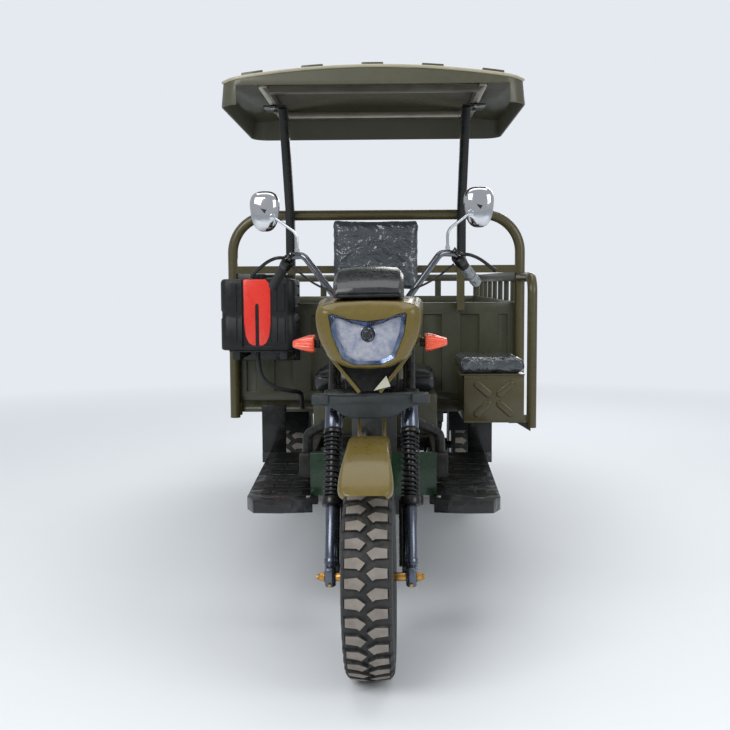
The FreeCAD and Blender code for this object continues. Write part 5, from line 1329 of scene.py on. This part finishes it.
def makeCanister():
    low, high = (Vector(c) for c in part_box("water_tank"))
    trimLow, trimHigh = (Vector(c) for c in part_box("water_tank_trim"))
    top = high.z - 0.019
    rows = [(0.010, low.z), (0.002, low.z + 0.003), (0.0, low.z + 0.010), (0.0, low.z + 0.118),
            (0.0035, low.z + 0.124), (0.0035, low.z + 0.146), (0.0, low.z + 0.152), (0.0, top - 0.014),
            (0.004, top - 0.004), (0.012, top)]
    can = loft([canisterSection(low.x, high.x, low.y, high.y, inset, z) for inset, z in rows])
    smooth(can, 40)
    recess = block((trimLow.x - 0.005, low.y - 0.02, low.z + 0.012), (trimHigh.x + 0.005, low.y + 0.009, top + 0.01),
                   0.004)
    cutAway(can, recess)
    pieces = [can]
    for k in range(canisterShape["ribs"]):
        z = low.z + 0.030 + k * (top - low.z - 0.060) / (canisterShape["ribs"] - 1)
        for x in (low.x, high.x):
            dent = block((x - 0.006, low.y + 0.026, z - 0.005), (x + 0.006, high.y - 0.040, z + 0.005), 0.002)
            cutAway(can, dent)
    for x in (trimLow.x - 0.024, trimHigh.x + 0.026, trimHigh.x + 0.056):
        groove = block((x - 0.0022, low.y - 0.01, low.z + 0.030), (x + 0.0022, low.y + 0.0035, top - 0.020), 0.001)
        cutAway(can, groove)
    for x in (low.x + 0.030, high.x - 0.062):
        foot = block((x, low.y + 0.004, low.z - 0.0), (x + 0.034, low.y + 0.030, low.z + 0.006), 0.0015)
        pieces.append(foot)
    middle = (trimLow.x + trimHigh.x) / 2
    capAt = Vector((middle, low.y + 0.060, top))
    neck = lathe([(-0.004, 0), (-0.004, 0.024), (0.003, 0.024), (0.004, 0.029), (0.0165, 0.0295), (0.019, 0.027),
                  (0.0192, 0)], capAt, (0, 0, 1), 48)
    pieces.append(smooth(neck, 40))
    for k in range(24):
        angle = math.tau * k / 24
        at = capAt + Vector((0.0294 * math.cos(angle), 0.0294 * math.sin(angle), 0))
        pieces.append(barrel(at + Vector((0, 0, 0.005)), at + Vector((0, 0, 0.0155)), 0.0010, 6))
    handle = tube([(high.x - 0.022, high.y - 0.060, top - 0.006), (high.x - 0.022, high.y - 0.060, top + 0.012),
                   (low.x + 0.150, high.y - 0.060, top + 0.012), (low.x + 0.150, high.y - 0.060, top - 0.006)],
                  0.0065, 0.012)
    pieces.append(smooth(handle, 60))
    settle(join(pieces), "canister_body", "body", finishes["blackPlastic"], ["water_tank"])
    makeInsert(trimLow, trimHigh)


def makeInsert(low, high):
    # a red shield: its top right corner cut, its lower corners rounded, a dark slot up its middle
    right, left = high.x - 0.0004, low.x + 0.0004
    slot = canisterShape["slotHalf"]
    middle = (left + right) / 2
    outline = [(left, high.z - 0.003), (left + 0.004, high.z), (right - 0.018, high.z), (right, high.z - 0.022),
               (right - 0.001, low.z + 0.080), (right - 0.007, low.z + 0.034), (right - 0.018, low.z + 0.010),
               (right - 0.032, low.z + 0.001)]
    outline += [(middle + slot, low.z), (middle + slot, high.z - 0.098), (middle + slot * 0.5, high.z - 0.091),
                (middle - slot * 0.5, high.z - 0.091), (middle - slot, high.z - 0.098), (middle - slot, low.z)]
    outline += [(left + 0.034, low.z + 0.001), (left + 0.019, low.z + 0.010), (left + 0.008, low.z + 0.034),
                (left + 0.002, low.z + 0.080)]
    shield = meshOf("shield", [(x, high.y - 0.0006, z) for x, z in outline], faces=[range(len(outline))])
    modify(shield, "SOLIDIFY", thickness=high.y - low.y - 0.0012, offset=1.0)
    closeMesh(shield)
    for v in shield.data.vertices:
        v.co.y = min(max(v.co.y, low.y + 0.0004), high.y - 0.0004)
    modify(shield, "BEVEL", width=0.0022, segments=3, limit_method="ANGLE", angle_limit=math.radians(60))
    settle(smooth(shield, 40), "canister_insert", "body", finishes["redPlastic"],
           ["water_tank_trim"])


def cutAway(obj, tool):
    pick(obj)
    modifier = obj.modifiers.new("cut", "BOOLEAN")
    modifier.operation = "DIFFERENCE"
    modifier.solver = "EXACT"
    modifier.object = tool
    bpy.ops.object.modifier_apply(modifier=modifier.name)
    bpy.data.objects.remove(tool, do_unlink=True)
    return obj


hoseShape = {"radius": 0.009, "intoTank": 0.130, "behindFront": 0.090}


def makeHose():
    # the same points as the routed hose
    low, high = (Vector(c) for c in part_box("water_tank"))
    x, y, back = low.x + hoseShape["intoTank"], low.y + hoseShape["behindFront"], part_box("front_hoop")[1][1]
    route = [(x, y, low.z), (x, y, 0.808), (x + 0.014, y, 0.752), (x + 0.062, y + 0.008, 0.716),
             (x + 0.122, y + 0.028, 0.702), (x + 0.156, back - 0.134, 0.692), (x + 0.158, back - 0.084, 0.664),
             (x + 0.150, back - 0.044, 0.617), (x + 0.150, back, 0.617)]
    hose = held(route, hoseShape["radius"])
    settle(hose, "canister_hose", "body", finishes["gripRubber"], ["water_hose"])


makeCanister()
makeHose()
print("canister fitted")


# tool box: the crossed ribs pressed into its front, its seams and corner plate

def ribBar(a, b, half, y, rise):
    # a rounded raised bar in the XZ plane, from a to b, standing out towards the front
    a, b = Vector((a[0], 0, a[1])), Vector((b[0], 0, b[1]))
    along = (b - a).normalized()
    side = Vector((-along.z, 0, along.x))
    rings = []
    for inset, out in ((0.0, 0.001), (0.0012, -rise * 0.35), (0.0032, -rise * 0.8), (0.0062, -rise)):
        ring = []
        for centre, start in ((b, -90), (a, 90)):
            for k in range(9):
                angle = math.radians(start + 180 * k / 8)
                reach = half - inset
                ring.append(centre + along * reach * math.cos(angle) + side * reach * math.sin(angle)
                            + Vector((0, y + out, 0)))
        rings.append(ring)
    return smooth(loft(rings), 50)


def makeToolBoxFront():
    low, high = (Vector(c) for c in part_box("side_seat_box"))
    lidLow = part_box("side_seat_lid")[0]
    top, bottom = lidLow[2], low.z + 0.008
    middle, mz = Vector(((low.x + high.x) / 2, 0, 0)), (top + bottom) / 2
    reachX, reachZ = 0.061, 0.054
    front = low.y
    bars = []
    for sx in (-1, 1):
        for sz in (-1, 1):
            near = (middle.x + sx * reachX * 0.36, mz + sz * reachZ * 0.36)
            far = (middle.x + sx * reachX, mz + sz * reachZ)
            bars.append(ribBar(near, far, 0.0150, front, 0.0042))
    edge = 0.0016
    rim = [block((low.x, front - edge, top - 0.010), (high.x, front + 0.001, top - 0.002), 0.0006),
           block((low.x, front - edge, bottom), (high.x, front + 0.001, bottom + 0.006), 0.0006)]
    settle(join(bars + rim), "tool_box_ribs", "body", finishes["olivePaint"])
    corner = block((high.x - 0.001, front + 0.010, bottom - 0.002), (high.x + 0.0006, front + 0.040, bottom + 0.02), 0.0004)
    gusset = meshOf("gusset", [(high.x - 0.030, front + 0.012, bottom), (high.x + 0.026, front + 0.012, bottom),
                               (high.x + 0.026, front + 0.012, bottom - 0.034)], faces=[(0, 1, 2)])
    modify(gusset, "SOLIDIFY", thickness=0.003)
    settle(join([corner, closeMesh(gusset)]), "tool_box_gusset", "body", finishes["blackGloss"])


makeToolBoxFront()
print("tool box pressed")


# footboards: trays in creased film, uprights plain black

def makeFootboards():
    low, high = (Vector(c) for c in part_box("footboards"))
    split = 0.428 + 0.0004
    source = frame["nodes"]["footboards"]
    for name, keepLow, key in (("footboard_trays", True, "wrappedTray"), ("footboard_uprights", False, "blackGloss")):
        mesh = source.data.copy()
        obj = bpy.data.objects.new(name, mesh)
        bpy.context.scene.collection.objects.link(obj)
        editAll(obj)
        bpy.ops.mesh.remove_doubles(threshold=0.00004)
        bpy.ops.mesh.bisect(plane_co=(0, 0, split), plane_no=(0, 0, 1), use_fill=True,
                            clear_outer=keepLow, clear_inner=not keepLow)
        bpy.ops.mesh.select_all(action="SELECT")
        bpy.ops.mesh.dissolve_limited(angle_limit=math.radians(1.5))
        bpy.ops.object.mode_set(mode="OBJECT")
        modify(obj, "BEVEL", width=0.0025, segments=2, limit_method="ANGLE", angle_limit=math.radians(32))
        settle(smooth(obj), name, "body", finishes[key], ["footboards"] if keepLow else ())
    treads = []
    for side in (-1, 1):
        for k in range(6):
            y = low.y + 0.110 + k * 0.105
            for x, wide in ((0.236, 0.046), (0.290, 0.046), (0.344, 0.030 + 0.020 * k / 5)):
                a, b = sorted((side * x, side * (x + wide)))
                treads.append(block((a, y, 0.4275), (b, y + 0.050, 0.4300), 0.0012))
    settle(join(treads), "footboard_treads", "body", finishes["wrappedTray"])
    bolts = []
    for side in (-1, 1):
        for y in (low.y + 0.05, low.y + 0.32, high.y - 0.05):
            bolts.append(barrel((side * 0.212, y, 0.4275), (side * 0.212, y, 0.4335), 0.0075, 6, 0.001))
    settle(join(bolts), "footboard_bolts", "body", finishes["boltZinc"])


makeFootboards()
print("footboards laid")


# roof: the frame's shape with a pale bead round its front, lines inside

roofShape = {"bead": 0.0055, "arch": 0.045, "ribs": (-0.42, -0.25, -0.085, 0.085, 0.25, 0.42)}


def makeRoof():
    low, high = (Vector(c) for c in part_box("canopy_roof"))
    softened("canopy_roof", "roof_shell", "roofPlastic", 0.0035, 3)
    half = high.x
    crown = high.z - 0.012
    bead = []
    for k in range(41):
        x = -half + 0.010 + (2 * half - 0.020) * k / 40
        z = crown - roofShape["arch"] * (x / half) ** 2 - 0.0030
        y = low.y + 0.0008 + 0.055 * max(0.0, (abs(x) - half + 0.075) / 0.075) ** 2.2
        bead.append((x, y, z))
    settle(smooth(tube(bead, roofShape["bead"], sides=16), 60), "roof_bead", "body",
           finishes["roofEdge"])
    lines = []
    for k in range(9):
        x = -0.34 + 0.085 * k
        z = crown - roofShape["arch"] * (x / half) ** 2 - 0.0085
        lines.append(block((x - 0.0022, low.y + 0.030, z - 0.0030), (x + 0.0022, high.y - 0.060, z + 0.0005), 0.0008))
    settle(join(lines), "roof_inner_lines", "body", finishes["roofPlastic"])
    bolts = []
    for side in (-1, 1):
        for dy in (-0.045, 0.045):
            at = Vector((side * 0.372, -0.534 + dy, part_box("canopy_struts")[1][2]))
            bolts.append(barrel(at - Vector((0, 0, 0.0145)), at - Vector((0, 0, 0.006)), 0.008, 6, 0.001))
    settle(join(bolts), "roof_bolts", "body", finishes["boltZinc"])


makeRoof()
print("roof bound")


# floor, light and camera

studio = {"floorSize": 60.0, "floorColor": screenColor(240, 244, 247), "floorFade": (2.2, 7.0),
          "backdropColor": screenColor(229, 234, 241), "skyColor": (0.93, 0.96, 1.0, 1),
          "skyStrength": 0.5, "keyPower": 125, "fillPower": 58, "topPower": 75, "backPower": 65}


def addFloor():
    clearSelection()
    bpy.ops.mesh.primitive_plane_add(size=studio["floorSize"])
    floor = bpy.context.object
    floor.name = "studio_floor"
    material = bpy.data.materials.new("paleFloor")
    material.use_nodes = True
    tree = material.node_tree
    shader = tree.nodes["Principled BSDF"]
    place = addNode(tree, "ShaderNodeTexCoord")
    # far off, the floor fades into the pale backdrop as the eye sees it
    away = addNode(tree, "ShaderNodeVectorMath", {"operation": "LENGTH"})
    feed(tree, away.inputs[0], place.outputs["Object"])
    path = tree.nodes.new("ShaderNodeLightPath")
    fade = math2(tree, "MULTIPLY", rangeOf(tree, away.outputs["Value"], *studio["floorFade"]),
                 path.outputs["Is Camera Ray"])
    glow = addNode(tree, "ShaderNodeEmission", Color=studio["backdropColor"], Strength=1.0)
    blend = tree.nodes.new("ShaderNodeMixShader")
    feed(tree, blend.inputs[0], fade)
    tree.links.new(shader.outputs[0], blend.inputs[1])
    tree.links.new(glow.outputs[0], blend.inputs[2])
    tree.links.new(blend.outputs[0], tree.nodes["Material Output"].inputs["Surface"])
    cloud = addNode(tree, "ShaderNodeTexNoise", Vector=place.outputs["Object"], Scale=0.8, Detail=4.0)
    tone = mixColor(tree, rangeOf(tree, cloud.outputs[0], 0.3, 0.7, 0.0, 0.25), studio["floorColor"],
                    screenColor(232, 237, 242))
    feed(tree, shader.inputs["Base Color"], tone)
    shader.inputs["Roughness"].default_value = 0.7
    floor.data.materials.append(material)


def addSky():
    world = bpy.data.worlds.new("studioSky")
    bpy.context.scene.world = world
    world.use_nodes = True
    tree = world.node_tree
    tree.nodes.clear()
    out = tree.nodes.new("ShaderNodeOutputWorld")
    lit = addNode(tree, "ShaderNodeBackground", Color=studio["skyColor"], Strength=studio["skyStrength"])
    seen = addNode(tree, "ShaderNodeBackground", Color=studio["backdropColor"], Strength=1.0)
    path = tree.nodes.new("ShaderNodeLightPath")
    shown = math2(tree, "MAXIMUM", path.outputs["Is Camera Ray"], path.outputs["Is Transmission Ray"])
    mix = tree.nodes.new("ShaderNodeMixShader")
    feed(tree, mix.inputs[0], shown)
    tree.links.new(lit.outputs[0], mix.inputs[1])
    tree.links.new(seen.outputs[0], mix.inputs[2])
    tree.links.new(mix.outputs[0], out.inputs[0])


def addSoftLight(name, place, target, size, power):
    clearSelection()
    bpy.ops.object.light_add(type="AREA", location=place)
    lamp = bpy.context.object
    lamp.name = name
    lamp.data.shape = "RECTANGLE"
    lamp.data.size, lamp.data.size_y = size
    lamp.data.energy = power
    aim = Vector(target) - Vector(place)
    lamp.rotation_euler = aim.to_track_quat("-Z", "Y").to_euler()


def addCamera():
    clearSelection()
    bpy.ops.object.camera_add()
    camera = bpy.context.object
    camera.data.lens, camera.data.sensor_width = 48.38, 36.0
    camera.matrix_world = (Matrix.Translation((0.055, -4.2395, 1.122)) @ Matrix.Rotation(math.radians(1.46), 4, "Z")
                           @ Matrix.Rotation(math.radians(85.2), 4, "X") @ Matrix.Rotation(math.radians(-0.3), 4, "Z"))
    camera.data.clip_end = 200
    bpy.context.scene.camera = camera


addFloor()
addSky()
addSoftLight("keyLight", (-2.6, -4.6, 3.6), (0, -0.6, 0.9), (3.0, 2.4), studio["keyPower"])
addSoftLight("fillLight", (3.6, -3.8, 2.6), (0, -0.6, 0.8), (2.6, 2.2), studio["fillPower"])
addSoftLight("topLight", (0, 0.2, 4.6), (0, 0.1, 0.5), (4.0, 4.0), studio["topPower"])
addSoftLight("backLight", (1.5, 4.8, 3.2), (0, 0.4, 0.8), (3.0, 2.0), studio["backPower"])
addCamera()
bpy.context.scene.view_settings.view_transform = "Standard"
